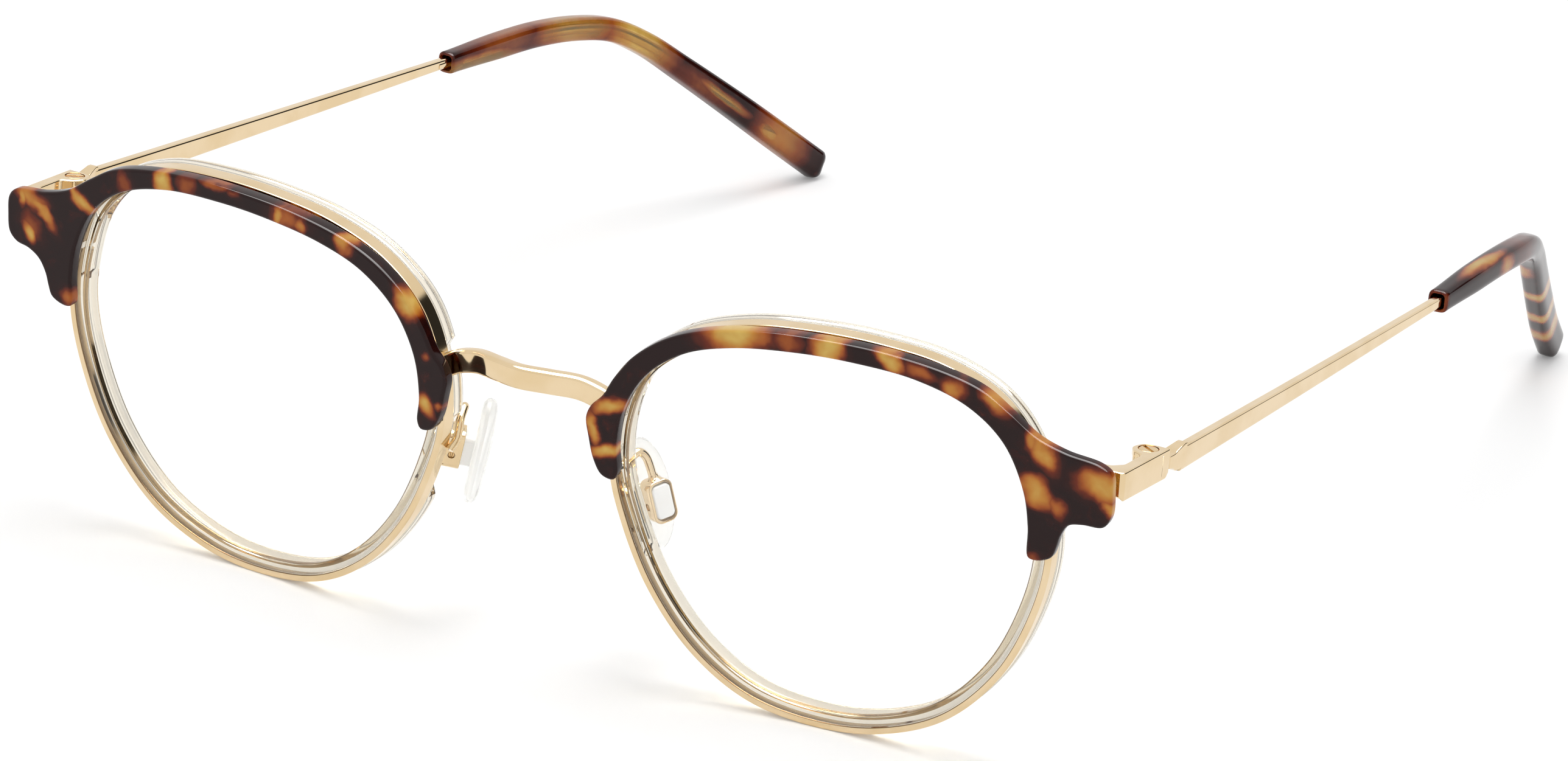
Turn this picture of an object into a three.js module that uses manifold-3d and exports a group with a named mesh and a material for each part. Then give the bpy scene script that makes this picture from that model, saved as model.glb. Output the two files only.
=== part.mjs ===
// Eyeglasses frame with tortoise brow pieces, gold metal rims and clear inner rims.
// Units are millimetres, +Z is up, the wearer looks along -Y and the wearer's left is +X.
// The frame stands on both rims and on both temple tips, so the floor is z = 0.
// Every piece is modelled for the wearer's left side and mirrored for the right side.
import * as THREE from "three";
import { mergeVertices } from "three/addons/utils/BufferGeometryUtils.js";
import Module from "manifold-3d";

const wasm = await Module();
wasm.setup();

// ---------- driving dimensions ----------
const GAP = 0.3; // clearance between neighbouring pieces
const FRONT_Y = -75.35; // y of the rim front plane at the lens centre
const LENS_CENTRE_X = 38.2; // lens centre from the middle of the nose
const LENS_CENTRE_Z = 24.13; // lens centre above the floor
const FRONT_TILT = THREE.MathUtils.degToRad(3.2); // the top of the front leans forward
const FACE_WRAP = THREE.MathUtils.degToRad(4.4); // the outer ends sit further back
const TEMPLE_SLOPE = THREE.MathUtils.degToRad(2.9); // the temples drop towards the ears

const RIM_WIDTH = 0.8; // metal rim, seen from the front
const RIM_DEPTH = 1.8; // metal rim, front to back
const CLEAR_INNER = 2.1; // inner edge of the clear rim, in from the metal rim's outer edge
const CLEAR_DEPTH = 3.4; // clear rim, front to back
const FLANGE_PROUD = 0.1; // clear flange outside the metal rim
const LENS_THICKNESS = 1.2;
const LENS_BULGE = 1.1; // rise of the curved lens at its centre
const BROW_THICKNESS = 2.0;
const BRIDGE_HEIGHT = 2.6;
const BRIDGE_THICKNESS = 1.6;

const HINGE_X = 67.45; // hinge screw axis
const HINGE_Y = FRONT_Y + 10.75;
const HINGE_Z = 35.1; // middle of the hinge barrel
const BARREL_RADIUS = 1.6;
const BARREL_HEIGHT = 3.2;
const EYE_HEIGHT = 1.3; // temple eye between the two end piece leaves
const OUTER_FACE_X = 69.25; // outer face of the end piece

const TEMPLE_START = 15.3; // start of the flat temple arm, behind the rim front plane
const SLEEVE_START = 86.4; // acetate tip starts here, behind the rim front plane

// ---------- mesh helpers ----------
function finishGeometry(positions, indices) {
  const geometry = new THREE.BufferGeometry();
  geometry.setAttribute("position", new THREE.Float32BufferAttribute(positions, 3));
  geometry.setIndex(indices);
  if (signedVolume(geometry) < 0) {
    flip(geometry);
  }
  return geometry;
}

function signedVolume(geometry) {
  const position = geometry.attributes.position;
  const index = geometry.index.array;
  const a = new THREE.Vector3();
  const b = new THREE.Vector3();
  const c = new THREE.Vector3();
  let volume = 0;
  for (let i = 0; i < index.length; i += 3) {
    a.fromBufferAttribute(position, index[i]);
    b.fromBufferAttribute(position, index[i + 1]);
    c.fromBufferAttribute(position, index[i + 2]);
    volume += a.dot(b.cross(c)) / 6;
  }
  return volume;
}

function flip(geometry) {
  const index = geometry.index.array;
  for (let i = 0; i < index.length; i += 3) {
    [index[i + 1], index[i + 2]] = [index[i + 2], index[i + 1]];
  }
}

// Skin through a row of point rings. A closed loft joins the last ring to the first;
// an open one gets a flat cap at each end.
function loft(rings, closed = false) {
  const size = rings[0].length;
  const positions = rings.flat().flatMap((p) => [p.x, p.y, p.z]);
  const indices = [];
  const spans = closed ? rings.length : rings.length - 1;
  for (let r = 0; r < spans; r += 1) {
    const next = (r + 1) % rings.length;
    for (let k = 0; k < size; k += 1) {
      const l = (k + 1) % size;
      indices.push(r * size + k, next * size + k, next * size + l);
      indices.push(r * size + k, next * size + l, r * size + l);
    }
  }
  if (!closed) {
    const last = (rings.length - 1) * size;
    for (let k = 1; k < size - 1; k += 1) {
      indices.push(0, k, k + 1);
      indices.push(last, last + k + 1, last + k);
    }
  }
  return finishGeometry(positions, indices);
}

function toManifold(geometry) {
  const bare = geometry.clone();
  bare.deleteAttribute("normal");
  bare.deleteAttribute("uv");
  const welded = mergeVertices(bare, 1e-4);
  const mesh = new wasm.Mesh({
    numProp: 3,
    vertProperties: new Float32Array(welded.attributes.position.array),
    triVerts: new Uint32Array(welded.index.array),
  });
  return new wasm.Manifold(mesh);
}

function fromManifold(solid) {
  const mesh = solid.getMesh();
  return finishGeometry(Array.from(mesh.vertProperties), Array.from(mesh.triVerts));
}

function unite(...geometries) {
  const solids = geometries.map(toManifold);
  return fromManifold(solids.reduce((sum, solid) => sum.add(solid)));
}

function cut(body, ...tools) {
  const solids = tools.map(toManifold);
  return fromManifold(solids.reduce((rest, tool) => rest.subtract(tool), toManifold(body)));
}

function mirrored(geometry) {
  const copy = geometry.clone();
  copy.scale(-1, 1, 1);
  flip(copy);
  return copy;
}

// ---------- shape helpers ----------
const vec = (x, y, z) => new THREE.Vector3(x, y, z);

function box(width, depth, height, centre) {
  const geometry = new THREE.BoxGeometry(width, depth, height);
  return geometry.translate(centre.x, centre.y, centre.z);
}

// Round rod between two points.
function rod(from, to, radius, sides = 14) {
  const axis = to.clone().sub(from);
  const geometry = new THREE.CylinderGeometry(radius, radius, axis.length(), sides);
  const turn = new THREE.Quaternion().setFromUnitVectors(vec(0, 1, 0), axis.clone().normalize());
  geometry.applyQuaternion(turn);
  const middle = from.clone().add(to).multiplyScalar(0.5);
  return geometry.translate(middle.x, middle.y, middle.z);
}

// Rectangle with cut corners, centred, in the plane of a sweep.
function chamferedSection(width, height, corner) {
  const w = width / 2;
  const h = height / 2;
  return [
    [w, -h + corner], [w, h - corner], [w - corner, h], [-w + corner, h],
    [-w, h - corner], [-w, -h + corner], [-w + corner, -h], [w - corner, -h],
  ];
}

// Rounded section between an ellipse and a rectangle.
function roundedSection(width, height, sides, squareness = 2.8) {
  const points = [];
  for (let k = 0; k < sides; k += 1) {
    const angle = ((k + 0.5) / sides) * 2 * Math.PI;
    const c = Math.cos(angle);
    const s = Math.sin(angle);
    const x = Math.sign(c) * Math.abs(c) ** (2 / squareness);
    const y = Math.sign(s) * Math.abs(s) ** (2 / squareness);
    points.push([(x * width) / 2, (y * height) / 2]);
  }
  return points;
}

// Sweep sections along a smooth curve. sectionAt(t) gives the outline at 0 <= t <= 1,
// and sideways is the direction its first coordinate keeps to as nearly as it can.
function sweep(curve, steps, sectionAt, sideways, from = 0, to = 1) {
  const rings = [];
  for (let i = 0; i <= steps; i += 1) {
    const t = from + ((to - from) * i) / steps;
    const centre = curve.getPointAt(t);
    const tangent = curve.getTangentAt(t);
    const across = sideways.clone().addScaledVector(tangent, -sideways.dot(tangent)).normalize();
    const over = tangent.clone().cross(across).normalize();
    rings.push(sectionAt(t).map(([a, b]) =>
      centre.clone().addScaledVector(across, a).addScaledVector(over, b)));
  }
  return loft(rings);
}

function smoothCurve(points) {
  return new THREE.CatmullRomCurve3(points, false, "centripetal");
}

function smoothStep(low, high, value) {
  const t = THREE.MathUtils.clamp((value - low) / (high - low), 0, 1);
  return t * t * (3 - 2 * t);
}

// ---------- the front frame ----------
// A point of the left front: u outwards and h upwards from the lens centre, o forwards.
function frontPoint(u, h, o) {
  const x = LENS_CENTRE_X + u * Math.cos(FACE_WRAP) + o * Math.sin(FACE_WRAP);
  const back = u * Math.sin(FACE_WRAP) - o * Math.cos(FACE_WRAP);
  const y = FRONT_Y + back * Math.cos(FRONT_TILT) - h * Math.sin(FRONT_TILT);
  const z = LENS_CENTRE_Z + back * Math.sin(FRONT_TILT) + h * Math.cos(FRONT_TILT);
  return vec(x, y, z);
}

// Outer edge of the metal rim, from the temple side over the top and round.
const RIM_OUTLINE = [
  [23.5, 1.5], [22.9, 7.5], [20.7, 13.8], [16.75, 18.2], [10.7, 20.8], [3.0, 21.65],
  [-5.0, 21.5], [-12.7, 20.5], [-19.7, 18.0], [-24.9, 13.6], [-27.5, 7.3], [-27.9, 0.5],
  [-26.5, -5.0], [-23.1, -12.4], [-17.8, -18.8], [-11.3, -22.8], [-3.6, -24.15],
  [4.2, -23.4], [12.0, -20.0], [18.3, -13.4], [22.1, -5.3],
];
const RIM_STATIONS = 68;

function outlineStations() {
  const spline = new THREE.CatmullRomCurve3(
    RIM_OUTLINE.map(([u, h]) => vec(u, h, 0)), true, "centripetal");
  const points = spline.getSpacedPoints(RIM_STATIONS).slice(0, -1);
  return points.map((point, i) => {
    const before = points[(i + RIM_STATIONS - 1) % RIM_STATIONS];
    const after = points[(i + 1) % RIM_STATIONS];
    const along = after.clone().sub(before).normalize();
    return { u: point.x, h: point.y, inU: -along.y, inH: along.x };
  });
}
const STATIONS = outlineStations();

// Ring of section points [inward offset, o] at one station of the outline.
function stationRing(station, section) {
  return section.map(([inset, o]) =>
    frontPoint(station.u + station.inU * inset, station.h + station.inH * inset, o));
}

// The metal rim is a flat band, split next to the end piece where the lock screw closes it.
const SPLIT_H = 8.6;
const RIM_BEVEL = 0.15;

function metalRim() {
  const section = [
    [0, -RIM_BEVEL], [RIM_BEVEL, 0], [RIM_WIDTH - RIM_BEVEL, 0], [RIM_WIDTH, -RIM_BEVEL],
    [RIM_WIDTH, -RIM_DEPTH], [0, -RIM_DEPTH],
  ];
  const ring = loft(STATIONS.map((station) => stationRing(station, section)), true);
  const middle = frontPoint(22.2, SPLIT_H, -RIM_DEPTH / 2);
  return cut(ring, box(5, 6, GAP, middle));
}

// Places along the rim where the clear flange is cut away: [u, h, half length].
const FLANGE_NOTCHES = [
  [-27.3, 7.7, 1.3], // bridge
  [-26.6, -4.4, 4.6], // guard arm and pad box
  [22.5, 8.5, 3.7], // end piece and rim lock
];
const CLEAR_OUTER = RIM_WIDTH + GAP;
const GROOVE_BOTTOM = CLEAR_OUTER + 0.3;
const REAR_INNER = 1.95; // the rear lip is lower than the front one
const LENS_PLANE = -1.6; // o of the lens edge
const LENS_INSET = GROOVE_BOTTOM + GAP - 0.05;

function clearRim() {
  const rings = STATIONS.map((station) => {
    const distances = FLANGE_NOTCHES.map(([u, h, half]) =>
      smoothStep(half, half + 0.9, Math.hypot(station.u - u, station.h - h)));
    const flange = Math.min(...distances);
    const outer = THREE.MathUtils.lerp(CLEAR_OUTER + 0.05, -FLANGE_PROUD, flange);
    const back = -RIM_DEPTH - GAP;
    return stationRing(station, [
      [CLEAR_OUTER, -0.1], [CLEAR_INNER, -0.1], [CLEAR_INNER, -0.7],
      [GROOVE_BOTTOM, LENS_PLANE + 0.45], [GROOVE_BOTTOM, LENS_PLANE - 0.45],
      [REAR_INNER, -2.5], [REAR_INNER - 0.5, -CLEAR_DEPTH],
      [outer, -CLEAR_DEPTH], [outer, back], [CLEAR_OUTER, back],
    ]);
  });
  return loft(rings, true);
}

// Curved demo lens with a bevelled edge that sits in the groove of the clear rim.
function lens() {
  const bands = [0.12, 0.45, 0.76, 1];
  const ringAt = (scale, inset, o) => STATIONS.filter((s, i) => i % 2 === 0).map((s) =>
    frontPoint((s.u + s.inU * inset) * scale, (s.h + s.inH * inset) * scale, o));
  const bulge = (scale) => LENS_BULGE * (1 - scale * scale);
  const half = LENS_THICKNESS / 2;
  const faceInset = CLEAR_INNER + GAP;
  const front = bands.map((scale) => ringAt(scale, faceInset, LENS_PLANE + half + bulge(scale)));
  const rear = bands.map((scale) => ringAt(scale, faceInset, LENS_PLANE - half + bulge(scale)));
  const edge = [
    ringAt(1, LENS_INSET, LENS_PLANE + 0.12),
    ringAt(1, LENS_INSET, LENS_PLANE - 0.12),
  ];
  return loft([...front, ...edge, ...rear.reverse()]);
}

// ---------- brow piece ----------
const BROW_INNER = [
  [21.6, 2.3], [21.5, 5.6], [20.8, 9.6], [18.4, 14.4], [14.4, 17.55], [8.4, 19.35],
  [0.8, 19.8], [-6.0, 19.5], [-13.0, 18.5], [-18.4, 16.7], [-22.7, 13.4], [-25.3, 8.9],
  [-26.1, 4.2], [-25.7, 0.9],
];
const BROW_OUTER = [
  [-26.4, 0.4], [-27.9, 0.75], [-28.8, 2.4], [-29.4, 4.8], [-29.75, 7.1], [-29.2, 8.5],
  [-27.9, 9.9], [-26.6, 12.2], [-24.4, 15.1], [-20.5, 18.05], [-15.8, 19.95], [-9.0, 21.25],
  [-2.0, 21.75], [4.5, 21.75], [11.5, 21.0], [15.8, 19.85], [18.9, 18.0], [22.1, 15.9],
  [25.4, 14.85], [29.2, 14.25],
];
const BROW_WING = [
  [30.15, 13.3], [30.35, 11.2], [30.15, 9.0], [29.2, 8.0], [27.5, 7.6], [26.1, 6.75],
  [25.2, 5.3], [24.8, 3.9], [24.35, 2.75], [23.3, 2.2],
];

function browShape() {
  const shape = new THREE.Shape();
  shape.moveTo(...BROW_INNER[0]);
  shape.splineThru(BROW_INNER.slice(1).map(([u, h]) => new THREE.Vector2(u, h)));
  shape.splineThru(BROW_OUTER.map(([u, h]) => new THREE.Vector2(u, h)));
  shape.splineThru(BROW_WING.map(([u, h]) => new THREE.Vector2(u, h)));
  return shape;
}

function browPiece() {
  const bevel = 0.3;
  const geometry = new THREE.ExtrudeGeometry(browShape(), {
    depth: BROW_THICKNESS - 2 * bevel,
    bevelThickness: bevel,
    bevelSize: bevel,
    bevelOffset: -bevel,
    bevelSegments: 1,
    curveSegments: 2,
  });
  geometry.translate(0, 0, GAP + bevel);
  const position = geometry.attributes.position;
  for (let i = 0; i < position.count; i += 1) {
    const placed = frontPoint(position.getX(i), position.getY(i), position.getZ(i));
    position.setXYZ(i, placed.x, placed.y, placed.z);
  }
  return fromManifold(toManifold(geometry));
}

// ---------- bridge ----------
function bridge() {
  const end = frontPoint(-27.9 - GAP, 7.6, -RIM_DEPTH / 2);
  const half = [
    vec(end.x, end.y, end.z), vec(8.7, FRONT_Y - 1.9, 32.35),
    vec(6.4, FRONT_Y - 2.1, 32.9), vec(3.2, FRONT_Y - 3.2, 33.15),
  ];
  const other = half.map((p) => vec(-p.x, p.y, p.z)).reverse();
  const curve = smoothCurve([...half, vec(0, FRONT_Y - 4.0, 33.25), ...other]);
  const section = () => chamferedSection(BRIDGE_HEIGHT, BRIDGE_THICKNESS, 0.4);
  return sweep(curve, 22, section, vec(0, 0, 1));
}

// ---------- hinge ----------
const hingeUp = vec(0, Math.sin(TEMPLE_SLOPE), Math.cos(TEMPLE_SLOPE));
const hingeBack = vec(0, Math.cos(TEMPLE_SLOPE), -Math.sin(TEMPLE_SLOPE));
const hingeCentre = vec(HINGE_X, HINGE_Y, HINGE_Z);

// Point in the hinge's own frame: x sideways, b backwards along the temple, c up the pin.
function hingePoint(x, b, c) {
  return hingeCentre.clone().add(vec(x, 0, 0)).addScaledVector(hingeBack, b)
    .addScaledVector(hingeUp, c);
}

function hingeRod(radius, low, high, sides = 14) {
  return rod(hingePoint(0, 0, low), hingePoint(0, 0, high), radius, sides);
}

const LEAF_BOTTOM = -BARREL_HEIGHT / 2;
const LEAF_TOP = BARREL_HEIGHT / 2;
const SCREW_RADIUS = 0.5;
const SCREW_HEAD_RADIUS = 1.05;
const SCREW_HEAD_DEPTH = 0.4;
const EYE_SLOT = EYE_HEIGHT / 2 + 0.25; // half height of the slot for the temple eye
const END_REAR = 1.6; // rear end of the end piece, behind the hinge axis

// Gold end piece: a plate behind the brow, a wall along the side and two hinge leaves.
function endPiece() {
  const root = frontPoint(22.9 + GAP, 10.9, -1.5);
  const wallX = OUTER_FACE_X - 0.65;
  const front = [
    vec(root.x, root.y, 35.4), vec(64.5, FRONT_Y + 2.4, 35.4), vec(67.6, FRONT_Y + 2.5, 35.4),
    vec(68.5, FRONT_Y + 2.9, 35.35), vec(wallX, FRONT_Y + 4.6, 35.3),
    hingePoint(wallX - HINGE_X, -1.6, 0.0), hingePoint(wallX - HINGE_X, END_REAR, 0.0),
  ];
  const heightAt = (t) => THREE.MathUtils.lerp(2.5, BARREL_HEIGHT - 0.2, smoothStep(0.45, 0.8, t));
  const strap = sweep(smoothCurve(front), 16, (t) => chamferedSection(heightAt(t), 1.3, 0.15),
    vec(0, 0, 1));
  const barrel = unite(
    hingeRod(BARREL_RADIUS, LEAF_BOTTOM, LEAF_TOP, 20),
    box(1.5, BARREL_RADIUS * 1.7, BARREL_HEIGHT - 0.2, hingeCentre.clone().add(vec(0.9, 0, 0))),
  );
  const slot = hingeRod(BARREL_RADIUS + GAP, -EYE_SLOT, EYE_SLOT, 20);
  const exit = loft([-0.4, END_REAR + 1].map((b) => [
    hingePoint(-3, b, -EYE_SLOT), hingePoint(1.05, b, -EYE_SLOT),
    hingePoint(1.05, b, EYE_SLOT), hingePoint(-3, b, EYE_SLOT),
  ]));
  const bore = hingeRod(SCREW_RADIUS + GAP, LEAF_BOTTOM - 1, LEAF_TOP + 1);
  const headSeat = hingeRod(SCREW_HEAD_RADIUS + 0.2, LEAF_TOP - SCREW_HEAD_DEPTH - 0.1, LEAF_TOP + 1);
  return cut(unite(strap, barrel), slot, exit, bore, headSeat);
}

function slottedScrew(from, to, shankRadius, headRadius, headDepth, slotAxis) {
  const axis = to.clone().sub(from).normalize();
  const neck = to.clone().addScaledVector(axis, -headDepth);
  const body = unite(rod(from, to, shankRadius, 10), rod(neck, to, headRadius, 16));
  const across = slotAxis.clone().cross(axis).normalize().multiplyScalar(0.13);
  const along = slotAxis.clone().normalize().multiplyScalar(headRadius * 1.2);
  const corners = (height) => {
    const centre = to.clone().addScaledVector(axis, height);
    return [
      centre.clone().add(along).add(across), centre.clone().add(along).sub(across),
      centre.clone().sub(along).sub(across), centre.clone().sub(along).add(across),
    ];
  };
  return cut(body, loft([corners(-headDepth * 0.5), corners(0.3)]));
}

function hingeScrew() {
  return slottedScrew(hingePoint(0, 0, LEAF_BOTTOM), hingePoint(0, 0, LEAF_TOP - 0.05),
    SCREW_RADIUS, SCREW_HEAD_RADIUS, SCREW_HEAD_DEPTH, vec(0.8, -0.6, 0));
}

// ---------- rim lock ----------
// The lock barrel below the end piece holds the split rim shut with a screw from below.
const LOCK_X = 63.2;
const LOCK_Y = FRONT_Y + 2.45;
const LOCK_TOP = 33.9;
const LOCK_BOTTOM = 31.2;
const LOCK_SCREW_RADIUS = 0.45;

function rimLock() {
  const root = frontPoint(22.75 + GAP, 7.0, -1.4);
  const block = box(2.6, 1.9, LOCK_TOP - LOCK_BOTTOM,
    vec(LOCK_X, LOCK_Y, (LOCK_TOP + LOCK_BOTTOM) / 2));
  const foot = loft([root.x, LOCK_X].map((x) => [
    vec(x, root.y - 0.7, LOCK_BOTTOM + 0.1), vec(x, root.y + 0.7, LOCK_BOTTOM + 0.1),
    vec(x, root.y + 0.7, LOCK_TOP - 1.0), vec(x, root.y - 0.7, LOCK_TOP - 1.0),
  ]));
  const bore = rod(vec(LOCK_X, LOCK_Y, LOCK_BOTTOM - 1), vec(LOCK_X, LOCK_Y, LOCK_TOP + 1),
    LOCK_SCREW_RADIUS + GAP, 10);
  return cut(unite(block, foot), bore);
}

function lockBore() {
  return rod(vec(LOCK_X, LOCK_Y, LOCK_TOP), vec(LOCK_X, LOCK_Y, 36.2), LOCK_SCREW_RADIUS + 0.2, 10);
}

function lockBoss() {
  return box(2.6, 1.9, 2.2, vec(LOCK_X, LOCK_Y, 35.35));
}

function lockScrew() {
  return slottedScrew(vec(LOCK_X, LOCK_Y, 36.0), vec(LOCK_X, LOCK_Y, LOCK_BOTTOM - 0.65),
    LOCK_SCREW_RADIUS, 0.9, 0.4, vec(1, 0, 0));
}

// ---------- temple ----------
// Centre line of the arm and of the curved tip, as distances behind the rim front plane.
const ARM_PATH = [
  [68.65, TEMPLE_START, 34.5], [67.2, 50, 32.4], [65.6, SLEEVE_START - GAP, 30.3],
];
const TIP_PATH = [
  [65.5, SLEEVE_START, 30.2], [64.9, 95.5, 29.8], [64.2, 105, 29.2], [63.2, 113, 28.1],
  [61.9, 119, 26.6], [60.2, 124.5, 23.7], [58.2, 130.6, 19.3], [55.4, 139.3, 12.8],
  [52.9, 147.5, 6.55], [51.05, 154.8, 1.15],
];

function pathCurve(points) {
  return smoothCurve(points.map(([x, y, z]) => vec(x, FRONT_Y + y, z)));
}
const tipCurve = pathCurve(TIP_PATH);
const coreCurve = pathCurve([[65.6, SLEEVE_START - 2, 30.3], ...TIP_PATH]);

const CORE_END = 0.87; // the metal core ends at this share of the tip
const CORE_SIZE = 1.1;

function temple() {
  const eye = hingeRod(BARREL_RADIUS, -EYE_HEIGHT / 2, EYE_HEIGHT / 2, 20);
  const neckRings = [
    [0.2, 0.25, 2.3, EYE_HEIGHT], [1.6, 0.25, 1.5, EYE_HEIGHT], [2.7, 0.35, 1.4, EYE_HEIGHT],
    [3.2, 0.7, 1.6, 1.7], [4.9, 1.2, 1.25, 2.7], [5.6, 1.2, 1.2, 2.7],
  ].map(([b, x, width, height]) => {
    const rise = height > EYE_HEIGHT ? -0.05 : 0;
    return chamferedSection(width, height, 0.15).map(([p, q]) => hingePoint(x + p, b, q + rise));
  });
  const neck = loft(neckRings);
  const armCurve = pathCurve(ARM_PATH);
  const arm = sweep(armCurve, 10, (t) =>
    chamferedSection(THREE.MathUtils.lerp(1.2, 1.1, t), THREE.MathUtils.lerp(2.7, 1.2, t), 0.15),
  vec(1, 0, 0));
  const taper = (t) => Math.min(1, (CORE_END - t) / 0.08 + 0.25);
  const core = sweep(coreCurve, 20, (t) =>
    roundedSection(CORE_SIZE * taper(t), CORE_SIZE * taper(t), 8), vec(1, 0, 0), 0, CORE_END);
  const body = unite(eye, neck, arm, core);
  return cut(body, hingeRod(SCREW_RADIUS + GAP, -2, 2));
}

// Tortoise acetate sleeve, hooked down behind the ear, with a blind channel for the core.
function templeTip() {
  const widthAt = (t) => 2.4 + 0.4 * smoothStep(0, 0.15, t);
  const heightAt = (t) => 2.6 + 0.4 * smoothStep(0, 0.15, t) + 0.8 * smoothStep(0.45, 0.9, t);
  const close = (t) => (t > 0.975 ? 1 - 0.25 * ((t - 0.975) / 0.025) ** 2 : 1);
  const outer = sweep(tipCurve, 28, (t) =>
    roundedSection(widthAt(t) * close(t), heightAt(t) * close(t), 14), vec(1, 0, 0));
  const channel = sweep(coreCurve, 20, () =>
    roundedSection(CORE_SIZE + 2 * GAP, CORE_SIZE + 2 * GAP, 8), vec(1, 0, 0), 0, CORE_END + 0.02);
  return cut(outer, channel);
}

// ---------- nose pads ----------
const PAD_CENTRE = vec(10.35, FRONT_Y + 5.9, 19.1);
const padDown = vec(0.242, 0.094, -0.966).normalize();
const padNose = vec(-0.838, 0.493, -0.162).normalize(); // towards the nose
const padSide = padDown.clone().cross(padNose).normalize();

// Point in the pad's own frame: n towards the nose, s sideways, d down the pad.
function padPoint(n, s, d) {
  return PAD_CENTRE.clone().addScaledVector(padNose, n).addScaledVector(padSide, s)
    .addScaledVector(padDown, d);
}
const BOX_N = -3.1; // middle of the pad box, behind the pad
const BOX_DEPTH = 2.2;
const BOX_LENGTH = 4.8;
const BOX_WIDTH = 2.9;
const BOX_WALL = 0.35;
const PAD_PIN_RADIUS = 0.3;

function padRing(n, width, length, sides, squareness) {
  return roundedSection(width, length, sides, squareness).map(([s, d]) => padPoint(n, s, d));
}

function nosePad() {
  const layers = [
    [-0.95, 4.2, 10.6], [-0.75, 5.6, 12.4], [-0.1, 6.4, 13.2], [0.5, 5.8, 12.6],
    [0.85, 4.2, 10.8], [1.0, 2.0, 6.0],
  ];
  const body = loft(layers.map(([n, width, length]) => padRing(n, width, length, 22, 2.1)));
  const studWidth = BOX_WIDTH - 2 * (BOX_WALL + GAP);
  const studLength = BOX_LENGTH - 2 * (BOX_WALL + 0.5);
  const stud = loft([-0.4, BOX_N - BOX_DEPTH / 2 + 0.25].map((n) =>
    padRing(n, studWidth, studLength, 8, 5)));
  const bore = rod(padPoint(BOX_N, -3, 0), padPoint(BOX_N, 3, 0), PAD_PIN_RADIUS + 0.2, 10);
  return cut(unite(body, stud), bore);
}

function padBox() {
  const ends = [BOX_N - BOX_DEPTH / 2, BOX_N + BOX_DEPTH / 2];
  const shell = loft(ends.map((n) => padRing(n, BOX_WIDTH, BOX_LENGTH, 12, 4.5)));
  const hollow = loft([ends[0] - 1, ends[1] + 1].map((n) =>
    padRing(n, BOX_WIDTH - 2 * BOX_WALL, BOX_LENGTH - 2 * BOX_WALL, 12, 4.5)));
  const bore = rod(padPoint(BOX_N, -3, 0), padPoint(BOX_N, 3, 0), PAD_PIN_RADIUS + 0.2, 10);
  return cut(shell, hollow, bore);
}

function padScrew() {
  return slottedScrew(padPoint(BOX_N, BOX_WIDTH / 2 + 0.05, 0),
    padPoint(BOX_N, -BOX_WIDTH / 2 - 0.6, 0), PAD_PIN_RADIUS, 0.62, 0.3, padDown);
}

// Bent wire from the rim, up and over, down to the top of the pad box.
const GUARD_WIRE_RADIUS = 0.48;

function guardArm() {
  const root = frontPoint(-27.6 - 0.35, -3.0, -1.6);
  const boxTop = padPoint(BOX_N, 0, -BOX_LENGTH / 2 - GAP);
  const curve = smoothCurve([
    root, vec(root.x - 0.1, root.y + 1.0, root.z + 1.1),
    vec(10.55, FRONT_Y + 1.7, 24.2), vec(10.9, FRONT_Y + 3.0, 25.0),
    vec(11.4, FRONT_Y + 3.7, 24.5), boxTop,
  ]);
  return sweep(curve, 18, () =>
    roundedSection(2 * GUARD_WIRE_RADIUS, 2 * GUARD_WIRE_RADIUS, 8, 2), vec(1, 0, 0));
}

// ---------- assembly ----------
const COLOURS = {
  gold: 0xe3c08c,
  tortoise: 0x5a2f1c,
  clear: 0xe9e6da,
  lens: 0xd8e6ea,
  pad: 0xf2f4f2,
};
const group = new THREE.Group();
group.name = "eyeglasses_frame";

function addMesh(name, geometry, finish) {
  const seeThrough = finish === "clear" || finish === "lens" || finish === "pad";
  const material = new THREE.MeshStandardMaterial({
    color: COLOURS[finish],
    metalness: finish === "gold" ? 1 : 0,
    roughness: finish === "gold" ? 0.2 : 0.1,
    transparent: seeThrough,
    opacity: seeThrough ? 0.5 : 1,
  });
  geometry.computeVertexNormals();
  const mesh = new THREE.Mesh(geometry, material);
  mesh.name = name;
  group.add(mesh);
}

function addPair(name, geometry, finish) {
  addMesh(`${name}_left`, geometry, finish);
  addMesh(`${name}_right`, mirrored(geometry), finish);
}

addPair("metal_rim", metalRim(), "gold");
addPair("inner_rim", clearRim(), "clear");
addPair("lens", lens(), "lens");
addPair("brow", browPiece(), "tortoise");
addMesh("bridge", bridge(), "gold");
addPair("endpiece", cut(unite(endPiece(), lockBoss()), lockBore()), "gold");
addPair("rim_lock", rimLock(), "gold");
addPair("lock_screw", lockScrew(), "gold");
addPair("hinge_screw", hingeScrew(), "gold");
addPair("temple", temple(), "gold");
addPair("temple_tip", templeTip(), "tortoise");
addPair("guard_arm", guardArm(), "gold");
addPair("pad_box", padBox(), "gold");
addPair("pad_screw", padScrew(), "gold");
addPair("nose_pad", nosePad(), "pad");

export default group;
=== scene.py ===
# Eyeglasses with tortoise brow pieces and tips, gold metalwork and clear inner rims.
# Lengths are in millimetres in the helpers, and turn into metres when a mesh is made.
import math

import bmesh
import bpy
import numpy as np
from mathutils import Matrix, Vector


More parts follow.
